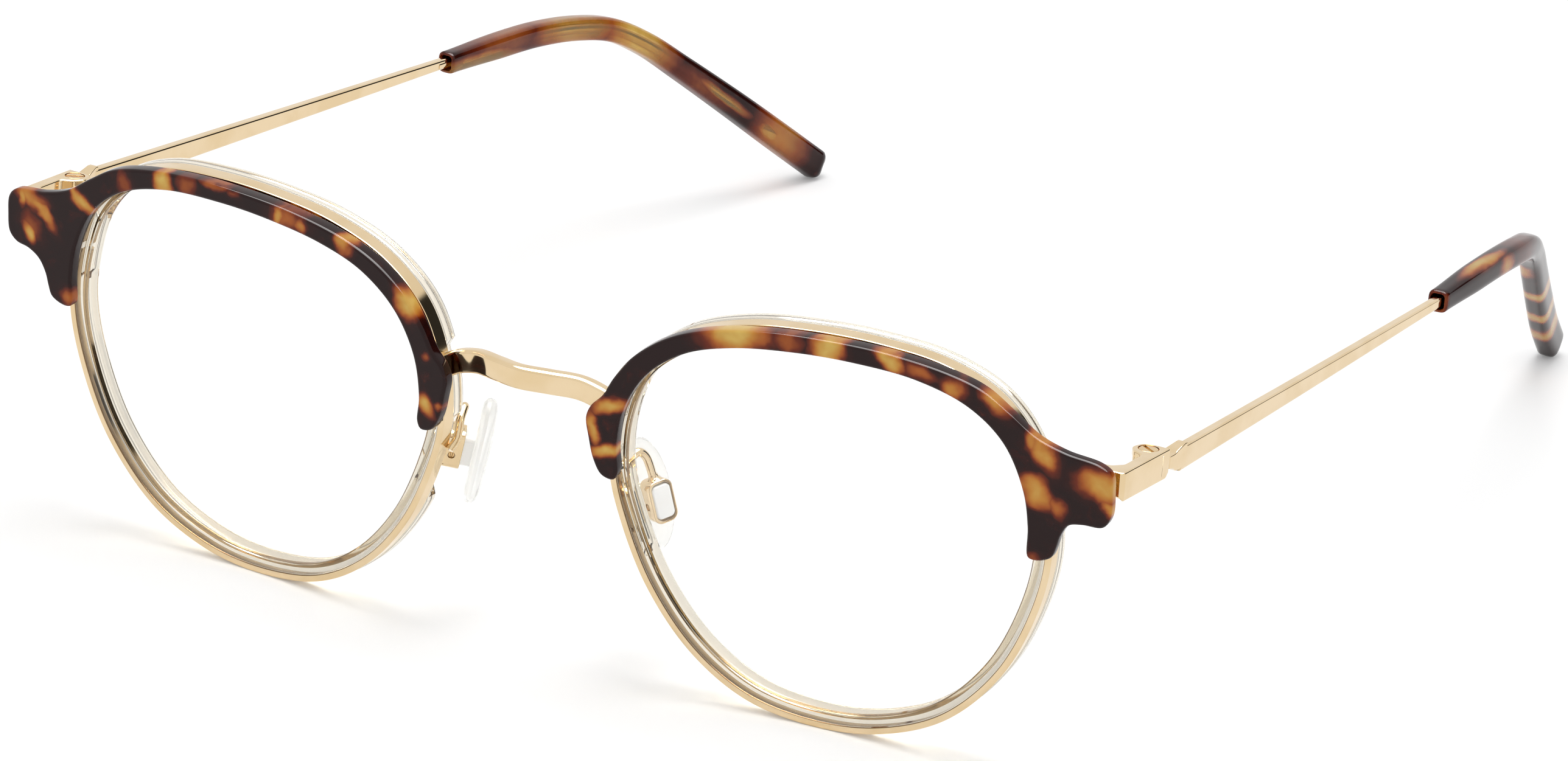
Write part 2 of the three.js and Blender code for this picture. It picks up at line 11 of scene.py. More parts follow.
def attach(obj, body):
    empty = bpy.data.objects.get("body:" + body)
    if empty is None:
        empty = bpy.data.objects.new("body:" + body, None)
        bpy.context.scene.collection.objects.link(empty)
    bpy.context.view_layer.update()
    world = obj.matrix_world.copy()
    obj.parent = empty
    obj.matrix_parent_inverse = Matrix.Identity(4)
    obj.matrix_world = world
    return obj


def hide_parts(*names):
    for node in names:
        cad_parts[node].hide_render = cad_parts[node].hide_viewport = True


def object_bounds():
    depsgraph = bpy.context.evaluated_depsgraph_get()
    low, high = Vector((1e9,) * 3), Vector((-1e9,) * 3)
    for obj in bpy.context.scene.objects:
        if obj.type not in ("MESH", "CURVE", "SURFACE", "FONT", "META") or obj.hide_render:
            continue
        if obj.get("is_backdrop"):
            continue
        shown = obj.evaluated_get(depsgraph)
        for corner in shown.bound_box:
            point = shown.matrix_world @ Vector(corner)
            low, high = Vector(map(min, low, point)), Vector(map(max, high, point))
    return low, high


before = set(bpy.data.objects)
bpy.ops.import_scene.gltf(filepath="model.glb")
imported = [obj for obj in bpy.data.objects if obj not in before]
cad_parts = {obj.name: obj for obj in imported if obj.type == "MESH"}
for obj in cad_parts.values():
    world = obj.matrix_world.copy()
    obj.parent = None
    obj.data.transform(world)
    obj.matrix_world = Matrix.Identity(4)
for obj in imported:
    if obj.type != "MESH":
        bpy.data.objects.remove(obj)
cad_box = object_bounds()

MM = 0.001

# ---------- driving dimensions, the same as the CAD model's ----------
GAP = 0.3
FRONT_Y = -75.35
LENS_CENTRE_X = 38.2
LENS_CENTRE_Z = 24.13
FRONT_TILT = math.radians(3.2)
FACE_WRAP = math.radians(4.4)
TEMPLE_SLOPE = math.radians(2.9)

RIM_WIDTH = 0.8
RIM_DEPTH = 1.8
CLEAR_INNER = 2.1
CLEAR_DEPTH = 3.4
FLANGE_PROUD = 0.1
LENS_THICKNESS = 1.2
LENS_BULGE = 1.1
LENS_PLANE = -1.6
BROW_THICKNESS = 2.0
BRIDGE_HEIGHT = 2.6
BRIDGE_THICKNESS = 1.6

HINGE = np.array([67.45, FRONT_Y + 10.75, 35.1])
BARREL_RADIUS = 1.6
BARREL_HALF = 1.6
EYE_HALF = 0.65
OUTER_FACE = 1.8
SLEEVE_START = 86.4

X_AXIS = np.array([1.0, 0.0, 0.0])
Z_AXIS = np.array([0.0, 0.0, 1.0])


# ---------- curves ----------
def catmull_span(a, b, c, d, steps):
    """Points of one centripetal Catmull-Rom span from b towards c."""
    gaps = [max(np.linalg.norm(q - p) ** 0.5, 1e-4) for p, q in ((a, b), (b, c), (c, d))]
    start = (b - a) / gaps[0] - (c - a) / (gaps[0] + gaps[1]) + (c - b) / gaps[1]
    end = (c - b) / gaps[1] - (d - b) / (gaps[1] + gaps[2]) + (d - c) / gaps[2]
    start = start * gaps[1]
    end = end * gaps[1]
    t = np.linspace(0, 1, steps, endpoint=False)[:, None]
    return (
        b
        + start * t
        + (3 * (c - b) - 2 * start - end) * t**2
        + (2 * (b - c) + start + end) * t**3
    )


def spline(points, count, closed=False):
    """Evenly spaced points along a smooth curve. A closed one doesn't repeat its start."""
    p = np.array(points, float)
    if closed:
        ctrl = np.vstack([p[-1:], p, p[:2]])
    else:
        ctrl = np.vstack([2 * p[0] - p[1], p, 2 * p[-1] - p[-2]])
    spans = zip(ctrl, ctrl[1:], ctrl[2:], ctrl[3:])
    dense = np.vstack([catmull_span(*span, 40) for span in spans] + [p[:1] if closed else p[-1:]])
    return resample(dense, count, closed)


def resample(dense, count, closed=False):
    steps = np.linalg.norm(np.diff(dense, axis=0), axis=1)
    along = np.concatenate([[0], np.cumsum(steps)])
    wanted = np.linspace(0, along[-1], count, endpoint=not closed)
    return np.stack([np.interp(wanted, along, dense[:, i]) for i in range(dense.shape[1])], 1)


def smooth_step(low, high, value):
    t = np.clip((value - low) / (high - low), 0, 1)
    return t * t * (3 - 2 * t)


def unit(v):
    return v / np.linalg.norm(v)


def inward(outline):
    """Unit normals pointing into a closed outline."""
    ahead = np.roll(outline, -1, 0) - outline
    ahead /= np.linalg.norm(ahead, axis=1)[:, None]
    behind = np.roll(ahead, 1, 0)
    tangent = ahead + behind
    tangent /= np.linalg.norm(tangent, axis=1)[:, None]
    normal = np.stack([-tangent[:, 1], tangent[:, 0]], 1)
    x, y = outline.T
    area = np.sum(x * np.roll(y, -1) - np.roll(x, -1) * y)
    return normal * np.sign(area)


def rounded_corners(corners, steps=6):
    """Outline through [x, y, radius] corners, each turned with an arc."""
    points = []
    for i, (x, y, radius) in enumerate(corners):
        here = np.array([x, y])
        before = unit(np.array(corners[i - 1][:2]) - here)
        after = unit(np.array(corners[(i + 1) % len(corners)][:2]) - here)
        half = math.acos(np.clip(before @ after, -1, 1)) / 2
        reach = radius / math.tan(half)
        centre = here + unit(before + after) * radius / math.sin(half)
        start = here + before * reach - centre
        turn = math.pi - 2 * half
        sign = np.sign(before[0] * after[1] - before[1] * after[0])
        for k in range(steps + 1):
            angle = -sign * turn * k / steps
            c, s = math.cos(angle), math.sin(angle)
            points.append(centre + [c * start[0] - s * start[1], s * start[0] + c * start[1]])
    return np.array(points)


def rounded_rect(width, height, radius, steps=3):
    w, h = width / 2, height / 2
    corners = [[w, -h, radius], [w, h, radius], [-w, h, radius], [-w, -h, radius]]
    return rounded_corners(corners, steps)


def superellipse(width, height, count, power):
    angle = (np.arange(count) + 0.5) / count * 2 * math.pi
    c, s = np.cos(angle), np.sin(angle)
    x = np.sign(c) * np.abs(c) ** (2 / power) * width / 2
    y = np.sign(s) * np.abs(s) ** (2 / power) * height / 2
    return np.stack([x, y], 1)


# ---------- solids as (vertices, faces) ----------
def loft(rings, closed=False):
    rings = np.array(rings)
    spans, size = rings.shape[:2]
    faces = []
    for r in range(spans if closed else spans - 1):
        a, b = r * size, (r + 1) % spans * size
        for k in range(size):
            m = (k + 1) % size
            faces.append((a + k, b + k, b + m, a + m))
    if not closed:
        faces.append(tuple(range(size)))
        faces.append(tuple((spans - 1) * size + k for k in range(size)))
    return rings.reshape(-1, 3), faces


def sweep(points, sideways, section_at):
    """Loft along points. section_at(t) is the outline at 0 <= t <= 1, across and over."""
    tangents = np.gradient(points, axis=0)
    rings = []
    for i, (centre, tangent) in enumerate(zip(points, tangents)):
        tangent = unit(tangent)
        across = unit(sideways - tangent * (sideways @ tangent))
        over = np.cross(tangent, across)
        section = section_at(i / (len(points) - 1))
        rings.append(centre + section[:, :1] * across + section[:, 1:] * over)
    return loft(rings)


def turned(start, axis, profile, sides=40):
    """Solid of revolution: profile is [distance along the axis, radius] from its start."""
    axis = unit(axis)
    across = unit(np.cross(axis, X_AXIS if abs(axis[0]) < 0.8 else Z_AXIS))
    over = np.cross(axis, across)
    angle = np.arange(sides) / sides * 2 * math.pi
    circle = np.cos(angle)[:, None] * across + np.sin(angle)[:, None] * over
    return loft([start + axis * d + circle * r for d, r in profile])


SUPPORT = 0.03  # a ring this far inside each rounded edge keeps the flat face flat


def slab(outline, low, high, place, bevel_low, bevel_high, steps=4):
    """Flat piece with rounded edges. low and high are heights or functions of (x, y)."""
    normal = inward(outline)
    level = [value if callable(value) else (lambda x, y, v=value: x * 0 + v)
             for value in (low, high)]
    rings = []
    quarter = [k / steps * math.pi / 2 for k in range(steps + 1)]
    edges = [(level[0], bevel_low, -1, angle) for angle in quarter]
    edges += [(level[1], bevel_high, 1, math.pi / 2 - angle) for angle in quarter]
    shells = [(level[0], bevel_low + SUPPORT, 0.0)]
    for height, bevel, sign, angle in edges:
        inset = bevel * (1 - math.sin(angle))
        shells.append((height, inset, sign * -bevel * (1 - math.cos(angle))))
    shells.append((level[1], bevel_high + SUPPORT, 0.0))
    for height, inset, lift in shells:
        x, y = (outline + normal * inset).T
        rings.append(place(x, y, height(x, y) + lift))
    return loft(rings)


# ---------- meshes ----------
def mirror(points, side):
    return points * np.array([side, 1, 1])


def make_mesh(name, solids, side=1, sharp=32):
    """One mesh from several closed solids, smooth apart from its sharp edges."""
    mesh = bpy.data.meshes.new(name)
    vertices = [mirror(v, side) for v, _ in solids]
    starts = np.cumsum([0] + [len(v) for v in vertices])
    faces = [tuple(i + at for i in f) for (_, fs), at in zip(solids, starts) for f in fs]
    mesh.from_pydata((np.vstack(vertices) * MM).tolist(), [], faces)
    work = bmesh.new()
    work.from_mesh(mesh)
    bmesh.ops.recalc_face_normals(work, faces=work.faces)
    work.to_mesh(mesh)
    work.free()
    finish_shading(mesh, sharp)
    return mesh


def finish_shading(mesh, sharp):
    mesh.polygons.foreach_set("use_smooth", [True] * len(mesh.polygons))
    mesh.set_sharp_from_angle(angle=math.radians(sharp))
    mesh.update()


def cut(mesh, cutters, side, sharp=32):
    """The mesh with closed solids cut away, by exact booleans."""
    body = bpy.data.objects.new("cut_body", mesh)
    bpy.context.scene.collection.objects.link(body)
    helpers = []
    for solid in cutters:
        helper = bpy.data.objects.new("cutter", make_mesh("cutter", [solid], side))
        bpy.context.scene.collection.objects.link(helper)
        helpers.append(helper)
        modifier = body.modifiers.new("cut", "BOOLEAN")
        modifier.operation = "DIFFERENCE"
        modifier.solver = "EXACT"
        modifier.object = helper
    bpy.context.view_layer.update()
    evaluated = body.evaluated_get(bpy.context.evaluated_depsgraph_get())
    result = bpy.data.meshes.new_from_object(evaluated)
    for thing in [body, *helpers]:
        bpy.data.objects.remove(thing)
    finish_shading(result, sharp)
    return result


def add_piece(name, mesh, material, body, slot, *nodes):
    """Puts a mesh in the scene as a piece that stands for its CAD nodes."""
    piece = bpy.data.objects.new(name, mesh)
    bpy.context.scene.collection.objects.link(piece)
    mesh.materials.clear()
    mesh.materials.append(material)
    weighted = piece.modifiers.new("normals", "WEIGHTED_NORMAL")
    weighted.keep_sharp = True
    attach(piece, body)
    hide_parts(*nodes)
    return piece


def store_places(mesh, values):
    """Per-vertex vector that the acetate material reads its pattern place from."""
    layer = mesh.attributes.new("acetate", "FLOAT_VECTOR", "POINT")
    layer.data.foreach_set("vector", np.asarray(values, np.float32).ravel())


def store_value(mesh, name, values):
    """Per-vertex number from 0 to 1 that a material reads by name."""
    layer = mesh.attributes.new(name, "FLOAT", "POINT")
    layer.data.foreach_set("value", np.asarray(values, np.float32))


def store_painted_shade(mesh, ring):
    """Painted darkening of each vertex, 0 clean to 1 dark, the same for each ring of a loft:
    painted shade on the metal rim, painted reflection lines on the clear rim.
    """
    store_value(mesh, "shade", np.tile(ring, len(mesh.vertices) // len(ring)))


# ---------- materials ----------
def linear(hex_colour):
    """Scene colour of an sRGB colour written as #rrggbb."""
    parts = [int(hex_colour[i : i + 2], 16) / 255 for i in (1, 3, 5)]
    return [p / 12.92 if p <= 0.04045 else ((p + 0.055) / 1.055) ** 2.4 for p in parts] + [1.0]


class Nodes:
    """Short way to build a material's node tree."""

    def __init__(self, name):
        self.material = bpy.data.materials.new(name)
        self.material.use_nodes = True
        self.tree = self.material.node_tree
        self.shader = self.tree.nodes["Principled BSDF"]

    def add(self, kind, inputs=None, **settings):
        node = self.tree.nodes.new(kind)
        for key, value in settings.items():
            setattr(node, key, value)
        for key, value in (inputs or {}).items():
            self.feed(node.inputs[key], value)
        return node

    def feed(self, socket, value):
        if isinstance(value, bpy.types.NodeSocket):
            self.tree.links.new(value, socket)
        else:
            socket.default_value = value

    def math(self, operation, a, b=0.0):
        return self.add("ShaderNodeMath", {0: a, 1: b}, operation=operation).outputs[0]

    def remap(self, value, low, high, to_low, to_high, kind="SMOOTHSTEP"):
        sockets = {0: value, 1: low, 2: high, 3: to_low, 4: to_high}
        return self.add("ShaderNodeMapRange", sockets, interpolation_type=kind).outputs[0]

    def noise(self, vector, scale, detail=3.0, roughness=0.5):
        sockets = {"Vector": vector, "Scale": scale, "Detail": detail, "Roughness": roughness}
        return self.add("ShaderNodeTexNoise", sockets)

    def ramp(self, value, stops):
        node = self.add("ShaderNodeValToRGB", {"Fac": value})
        elements = node.color_ramp.elements
        while len(elements) < len(stops):
            elements.new(0.5)
        for element, (place, colour) in zip(elements, stops):
            element.position = place
            element.color = linear(colour)
        return node.outputs["Color"]

    def bump(self, height, distance, strength=1.0):
        sockets = {"Height": height, "Distance": distance, "Strength": strength}
        return self.add("ShaderNodeBump", sockets).outputs["Normal"]

    def set(self, **values):
        for key, value in values.items():
            self.feed(self.shader.inputs[key.replace("_", " ")], value)


# Colour of the painted shade on the metal rim's wall and of its painted shadow line.
GOLD_PAINTED_SHADE = "#5a3a1a"
# Colour of the grey lines painted on the clear rim's edges as their reflections.
CLEAR_PAINTED_LINE_COLOUR = "#2e2a2a"
MILKY_CLEARNESS = 0.08


def object_place(nodes):
    return nodes.add("ShaderNodeTexCoord").outputs["Object"]


def with_painted_shade(nodes, colour, dark):
    """A colour that turns to the dark one where the mesh's shade attribute is 1, which paints shade
    and reflection lines into the colour.
    """
    shade = nodes.add("ShaderNodeAttribute", attribute_name="shade").outputs["Fac"]
    return nodes.add("ShaderNodeMix", {0: shade, 6: colour, 7: linear(dark)},
                     data_type="RGBA").outputs[2]


def gold_material(name, colour, roughness, wear):
    nodes = Nodes(name)
    place = object_place(nodes)
    cloud = nodes.noise(place, 220.0, 3.0).outputs["Fac"]
    grain = nodes.noise(place, 2600.0, 2.0).outputs["Fac"]
    tone = nodes.remap(cloud, 0.35, 0.65, 0.0, 1.0)
    shade = nodes.add("ShaderNodeMix", {0: tone, 6: linear(colour), 7: linear(wear)},
                      data_type="RGBA")
    # Where a mesh carries the shade attribute, painted shade darkens the gold.
    nodes.set(Base_Color=with_painted_shade(nodes, shade.outputs[2], GOLD_PAINTED_SHADE), Metallic=1.0)
    nodes.set(Roughness=nodes.remap(cloud, 0.3, 0.7, roughness * 0.75, roughness * 1.3, "LINEAR"))
    nodes.set(Normal=nodes.bump(grain, 0.0000015, 0.25))
    return nodes.material


def clear_material(name, tint, ior, roughness, striation, clearness, glow=0.0):
    """Clear plastic, cloudy where the mesh's milk is 1. Its glow is a painted glow in its tint, so
    it shines a little though it is no lamp.
    """
    nodes = Nodes(name)
    place = object_place(nodes)
    wave = nodes.noise(place, 160.0, 2.0).outputs["Fac"]
    # Where a mesh carries the shade attribute, grey reflection lines are painted into the colour.
    nodes.set(Base_Color=with_painted_shade(nodes, linear(tint), CLEAR_PAINTED_LINE_COLOUR), IOR=ior)
    milk = nodes.add("ShaderNodeAttribute", attribute_name="milk").outputs["Fac"]
    clear = nodes.remap(milk, 0.0, 1.0, clearness, MILKY_CLEARNESS, "LINEAR")
    nodes.set(Transmission_Weight=clear)
    # Painted glow: emission in the tint, which the silicone pads use.
    nodes.set(Emission_Color=linear(tint), Emission_Strength=glow)
    nodes.set(Roughness=nodes.remap(wave, 0.3, 0.7, roughness * 0.6, roughness * 1.5, "LINEAR"))
    nodes.set(Normal=nodes.bump(nodes.noise(place, 700.0, 2.0).outputs["Fac"], 0.00001, striation))
    return nodes.material


def lens_material():
    nodes = Nodes("demo_lens")
    place = object_place(nodes)
    haze = nodes.noise(place, 40.0, 2.0).outputs["Fac"]
    nodes.set(Base_Color=linear("#fbfdfd"), Alpha=0.05, IOR=1.5)
    nodes.set(Roughness=nodes.remap(haze, 0.3, 0.7, 0.01, 0.03, "LINEAR"))
    return nodes.material


def tortoise_material(name, patches, see_through, gloss, stretch=1.0):
    """Dark acetate with amber patches, each [place, half sizes, turn in degrees, strength].

    The patches' edges wander, in waves that are drawn out along the first axis by stretch.
    """
    nodes = Nodes(name)
    place = nodes.add("ShaderNodeAttribute", attribute_name="acetate").outputs["Vector"]
    drawn_out = nodes.add("ShaderNodeMapping", {"Vector": place, "Scale": (1 / stretch, 1, 1)})
    drawn_out = drawn_out.outputs[0]
    flow = nodes.noise(drawn_out, 0.32, 2.0).outputs["Color"]
    fine = nodes.noise(drawn_out, 1.3, 3.0).outputs["Color"]
    for colour, reach in ((flow, 2.2), (fine, 0.3)):
        centred = nodes.add("ShaderNodeVectorMath", {0: colour, 1: (0.5, 0.5, 0.5)},
                            operation="SUBTRACT").outputs[0]
        scaled = nodes.add("ShaderNodeVectorMath", {0: centred, "Scale": reach},
                           operation="SCALE").outputs[0]
        place = nodes.add("ShaderNodeVectorMath", {0: place, 1: scaled}, operation="ADD").outputs[0]
    amber = nodes.remap(nodes.noise(place, 0.55, 2.0).outputs["Fac"], 0.55, 0.8, 0.0, 0.28)
    for centre, half, turn, strength in patches:
        sockets = {"Vector": place, "Location": centre, "Scale": half,
                   "Rotation": (0, 0, math.radians(turn))}
        local = nodes.add("ShaderNodeMapping", sockets, vector_type="TEXTURE").outputs[0]
        reach = nodes.add("ShaderNodeVectorMath", {0: local}, operation="LENGTH").outputs["Value"]
        amber = nodes.math("MAXIMUM", amber, nodes.remap(reach, 1.55, 0.1, 0.0, strength))
    haze = nodes.remap(nodes.noise(place, 0.45, 2.0).outputs["Fac"], 0.3, 0.7, 0.88, 1.06, "LINEAR")
    amber = nodes.math("MULTIPLY", amber, haze)
    colour = nodes.ramp(amber, [
        (0.0, "#1c0706"), (0.2, "#2a0a06"), (0.38, "#64230d"), (0.55, "#9c511e"),
        (0.74, "#b67b32"), (0.9, "#c09648"), (1.0, "#c8a655"),
    ])
    nodes.set(Base_Color=colour, IOR=1.5, Specular_IOR_Level=gloss)
    polish = nodes.noise(place, 0.8, 2.0).outputs["Fac"]
    nodes.set(Roughness=nodes.remap(polish, 0.3, 0.7, 0.05, 0.12, "LINEAR"))
    nodes.set(Transmission_Weight=nodes.math("MULTIPLY", amber, see_through))
    return nodes.material


def floor_material():
    nodes = Nodes("studio_floor")
    place = object_place(nodes)
    paper = nodes.noise(place, 60.0, 3.0).outputs["Fac"]
    nodes.set(Base_Color=linear("#e6e6e6"), Specular_IOR_Level=0.0)
    nodes.set(Emission_Color=linear("#ffffff"), Emission_Strength=0.13)
    nodes.set(Roughness=nodes.remap(paper, 0.3, 0.7, 0.9, 1.0, "LINEAR"))
    return nodes.material


def flat_patches(rows):
    """Patches that go right through the brow piece."""
    return [((u, h, 0), (a, b, 60), turn, strength) for u, h, a, b, turn, strength in rows]


# Amber patches of the brows: outwards and up from the lens centre, half sizes, turn, strength.
BROW_PATCHES = {
    "left": flat_patches([
        (-26.9, 9.0, 2.9, 1.2, 14, 0.9), (-29.1, 6.3, 2.4, 1.0, 101, 0.85),
        (-27.3, 3.8, 2.7, 1.1, 12, 0.92), (-12.6, 20.5, 4.6, 2.6, 8, 1.0),
        (-6.3, 20.9, 2.6, 1.6, 0, 0.5), (-1.6, 20.8, 2.2, 2.4, 0, 1.0),
        (5.3, 21.0, 2.3, 1.2, -28, 0.95), (8.8, 20.4, 2.4, 1.1, -12, 0.55),
        (12.5, 19.5, 1.8, 1.4, -20, 0.74), (17.3, 19.2, 2.7, 1.5, -45, 0.8),
        (23.1, 14.5, 3.0, 1.8, -55, 0.85), (21.6, 15.8, 1.5, 1.0, -60, 0.7),
        (22.5, 9.9, 2.4, 1.8, -40, 0.92), (24.7, 8.8, 1.8, 1.1, -60, 0.6),
        (29.9, 12.0, 3.5, 2.2, -8, 0.9), (30.8, 9.4, 2.0, 1.0, -50, 0.8),
        (22.3, 2.2, 1.3, 0.9, 0, 0.45),
    ]),
    "right": flat_patches([
        (27.0, 13.9, 2.9, 1.7, 20, 0.72), (28.2, 13.6, 1.7, 0.8, 95, 0.8),
        (25.6, 12.9, 3.3, 1.0, 48, 0.82), (20.0, 15.3, 2.7, 0.9, 48, 0.88),
        (27.2, 9.5, 1.7, 1.1, 65, 0.92), (26.9, 10.4, 2.4, 1.7, 60, 0.5),
        (21.9, 3.1, 1.6, 1.2, 0, 0.6), (13.8, 18.9, 1.2, 1.7, 0, 0.5),
        (8.6, 20.2, 1.3, 2.4, -12, 0.97), (5.3, 20.7, 1.9, 1.6, 0, 0.5),
        (1.5, 21.8, 2.8, 0.6, 0, 0.55), (-1.0, 21.3, 1.0, 0.7, 0, 0.42),
        (-8.6, 20.5, 3.1, 1.9, 0, 0.55), (-7.3, 20.5, 0.9, 1.4, 0, 0.8),
        (-10.1, 20.1, 1.0, 1.3, 0, 0.76), (-15.9, 19.4, 1.4, 1.4, 0, 0.85),
        (-24.4, 14.7, 2.1, 1.6, 55, 1.0), (-27.1, 9.2, 0.9, 0.8, 0, 0.5),
        (-27.3, 3.6, 1.8, 1.2, 70, 0.92), (-29.2, 3.9, 0.9, 0.7, 0, 0.6),
    ]),
}

# Patches of the tips: (distance down the tip, outwards, down), half sizes, turn, strength.
TIP_PATCHES = {
    "left": [
        ((-0.3, 0, 0), (1.0, 4, 4), 0, 0.5), ((12.5, 0.5, -1.3), (7.5, 1.0, 1.1), 0, 0.95),
        ((19, 1.1, 0.3), (2.8, 1.3, 1.4), 0, 0.85), ((26, 0, 0), (10, 3, 3), 0, 0.38),
        ((43, -1, 0.8), (3.0, 1.8, 2.0), 0, 0.85), ((53, 0, 0.5), (1.9, 4, 4), 0, 1.05),
        ((61.5, 0, 0.3), (1.9, 4, 4), 0, 1.1), ((68.5, 0, 0), (2.4, 4, 4), 0, 1.05),
    ],
    "right": [
        ((-0.3, 0, 0), (1.0, 4, 4), 0, 0.5), ((6, -1, 0.7), (10, 2.6, 1.4), 0, 1.0),
        ((12, 0, -0.8), (12, 3, 2.2), 0, 0.58), ((25, -0.4, -0.3), (10, 3.4, 2.4), 0, 1.05),
        ((38, 0, 0), (7.5, 4, 4), 0, 1.15), ((51, 0, 0.8), (10, 4, 2.0), 0, 0.5),
        ((55.5, -1, 0.2), (6, 2.2, 0.8), 0, 1.0), ((68, 0, 0), (7, 4, 4), 0, 0.8),
        ((65.5, -1, 0.6), (2.6, 2.2, 1.2), 0, 1.0),
    ],
}

gold = gold_material("polished_gold", "#e4cda8", 0.07, "#dec59c")
screw_gold = gold_material("screw_gold", "#dcbf8f", 0.12, "#d2b07e")
clear_acetate = clear_material("clear_acetate", "#f1eadb", 1.42, 0.03, 0.12, 1.0)
# The silicone's 0.05 glow is a painted glow that brightens the pads to look like lit white
# silicone.
silicone = clear_material("clear_silicone", "#fafaf8", 1.36, 0.12, 0.3, 0.7, 0.05)
demo_lens = lens_material()

BROW_GLOSS = 0.22
TIP_GLOSS = 0.14
TIP_STRETCH = 3.0
TIP_CLEARNESS = {"left": 0.3, "right": 0.8}
BROW_ACETATE = {s: tortoise_material(f"brow_acetate_{s}", patches, 0.0, BROW_GLOSS)
                for s, patches in BROW_PATCHES.items()}
TIP_ACETATE = {s: tortoise_material(f"tip_acetate_{s}", patches, TIP_CLEARNESS[s], TIP_GLOSS,
                                    TIP_STRETCH)
               for s, patches in TIP_PATCHES.items()}


# ---------- the front ----------
def front_point(u, h, o):
    """A point of the left front: outwards, up and forwards of the lens centre."""
    back = u * math.sin(FACE_WRAP) - o * math.cos(FACE_WRAP)
    x = LENS_CENTRE_X + u * math.cos(FACE_WRAP) + o * math.sin(FACE_WRAP)
    y = FRONT_Y + back * math.cos(FRONT_TILT) - h * math.sin(FRONT_TILT)
    z = LENS_CENTRE_Z + back * math.sin(FRONT_TILT) + h * math.cos(FRONT_TILT)
    return np.stack(np.broadcast_arrays(x, y, z), -1)


RIM_OUTLINE = [
    [23.5, 1.5], [22.9, 7.5], [20.7, 13.8], [16.75, 18.2], [10.7, 20.8], [3.0, 21.65],
    [-5.0, 21.5], [-12.7, 20.5], [-19.7, 18.0], [-24.9, 13.6], [-27.5, 7.3], [-27.9, 0.5],
    [-26.5, -5.0], [-23.1, -12.4], [-17.8, -18.8], [-11.3, -22.8], [-3.6, -24.15],
    [4.2, -23.4], [12.0, -20.0], [18.3, -13.4], [22.1, -5.3],
]
RIM_STATIONS = 360
SPLIT_H = 8.6  # the height at which the metal rim is split, behind the brow wing
rim_outline = spline(RIM_OUTLINE, RIM_STATIONS, closed=True)
rim_inward = inward(rim_outline)


def rim_ring(i, section):
    inset, o = np.array(section).T
    u, h = (rim_outline[i] + rim_inward[i] * inset[:, None]).T
    return front_point(u, h, o)


rim_section = rounded_rect(RIM_WIDTH, RIM_DEPTH, 0.12) + [RIM_WIDTH / 2, -RIM_DEPTH / 2]
# Painted shade: the wall that holds the clear rim is painted darker, and darkest along its front
# edge, as a painted shadow line in the gap to the clear rim.
rim_dark_wall_mask = (rim_section[:, 0] > RIM_WIDTH - 0.02) & (rim_section[:, 1] < -0.1)
rim_shadow_line_mask = (rim_section[:, 0] > RIM_WIDTH - 0.08) & (rim_section[:, 1] > -0.13)
rim_painted_shade = np.where(rim_shadow_line_mask, 0.85, np.where(rim_dark_wall_mask, 0.2, 0.0))


def metal_rim():
    """Band round the inner rim, with one station left out where it is split."""
    outer = rim_outline[:, 0] > 0
    split = int(np.argmin(np.abs(rim_outline[:, 1] - SPLIT_H) + np.where(outer, 0, 99)))
    order = [(split + 1 + k) % RIM_STATIONS for k in range(RIM_STATIONS - 1)]
    return loft([rim_ring(i, rim_section) for i in order])


# Where the flange behind the metal rim is cut away: [u, h, half length, fade].
FLANGE_NOTCHES = [[-27.3, 7.7, 1.3, 0.5], [-26.6, -4.4, 4.4, 1.6], [22.5, 8.5, 3.4, 1.6]]
CLEAR_OUTER = RIM_WIDTH - 0.02
GROOVE_BOTTOM = RIM_WIDTH + GAP + 0.3
REAR_INNER = 1.95


def clear_rim():
    """Inner rim: front lip, lens groove, rear lip and a flange behind the metal rim."""
    rings = []
    back = -RIM_DEPTH + 0.02
    middle = (back - CLEAR_DEPTH) / 2
    for i in range(RIM_STATIONS):
        away = [np.hypot(*(rim_outline[i] - n[:2])) for n in FLANGE_NOTCHES]
        flange = min(smooth_step(n[2], n[2] + n[3], d) for n, d in zip(FLANGE_NOTCHES, away))
        outer = CLEAR_OUTER + 0.05 - (CLEAR_OUTER + 0.05 + FLANGE_PROUD) * flange
        rings.append(rim_ring(i, [
            (CLEAR_OUTER, -0.12), (CLEAR_OUTER + 0.12, -0.02), (CLEAR_INNER - 0.14, -0.02),
            (CLEAR_INNER, -0.16), (CLEAR_INNER, -0.7), (GROOVE_BOTTOM, LENS_PLANE + 0.45),
            (GROOVE_BOTTOM, LENS_PLANE - 0.45), (REAR_INNER, -2.5),
            (REAR_INNER - 0.05, -2.75), (REAR_INNER - 0.5, -CLEAR_DEPTH + 0.1),
            (REAR_INNER - 0.62, -CLEAR_DEPTH), (outer + 0.2, -CLEAR_DEPTH),
            (outer + 0.06, -CLEAR_DEPTH + 0.06), (outer, -CLEAR_DEPTH + 0.2),
            (outer, middle - 0.16), (outer, middle), (outer, middle + 0.16),
            (outer, back - 0.15), (outer + 0.04, back - 0.04), (outer + 0.12, back),
            (CLEAR_OUTER, back),
        ]))
    return loft(rings, closed=True)


# Painted reflection lines at each corner of the clear rim's section: its polished edges, and a line
# along the middle of its flange, are painted grey to stand in for what they reflect and refract.
CLEAR_PAINTED_LINES = [0, 0.5, 0, 0.5, 0, 0, 0, 0, 0, 0, 0.3, 0, 1, 0, 0, 1, 0, 0, 0.8, 0, 0]


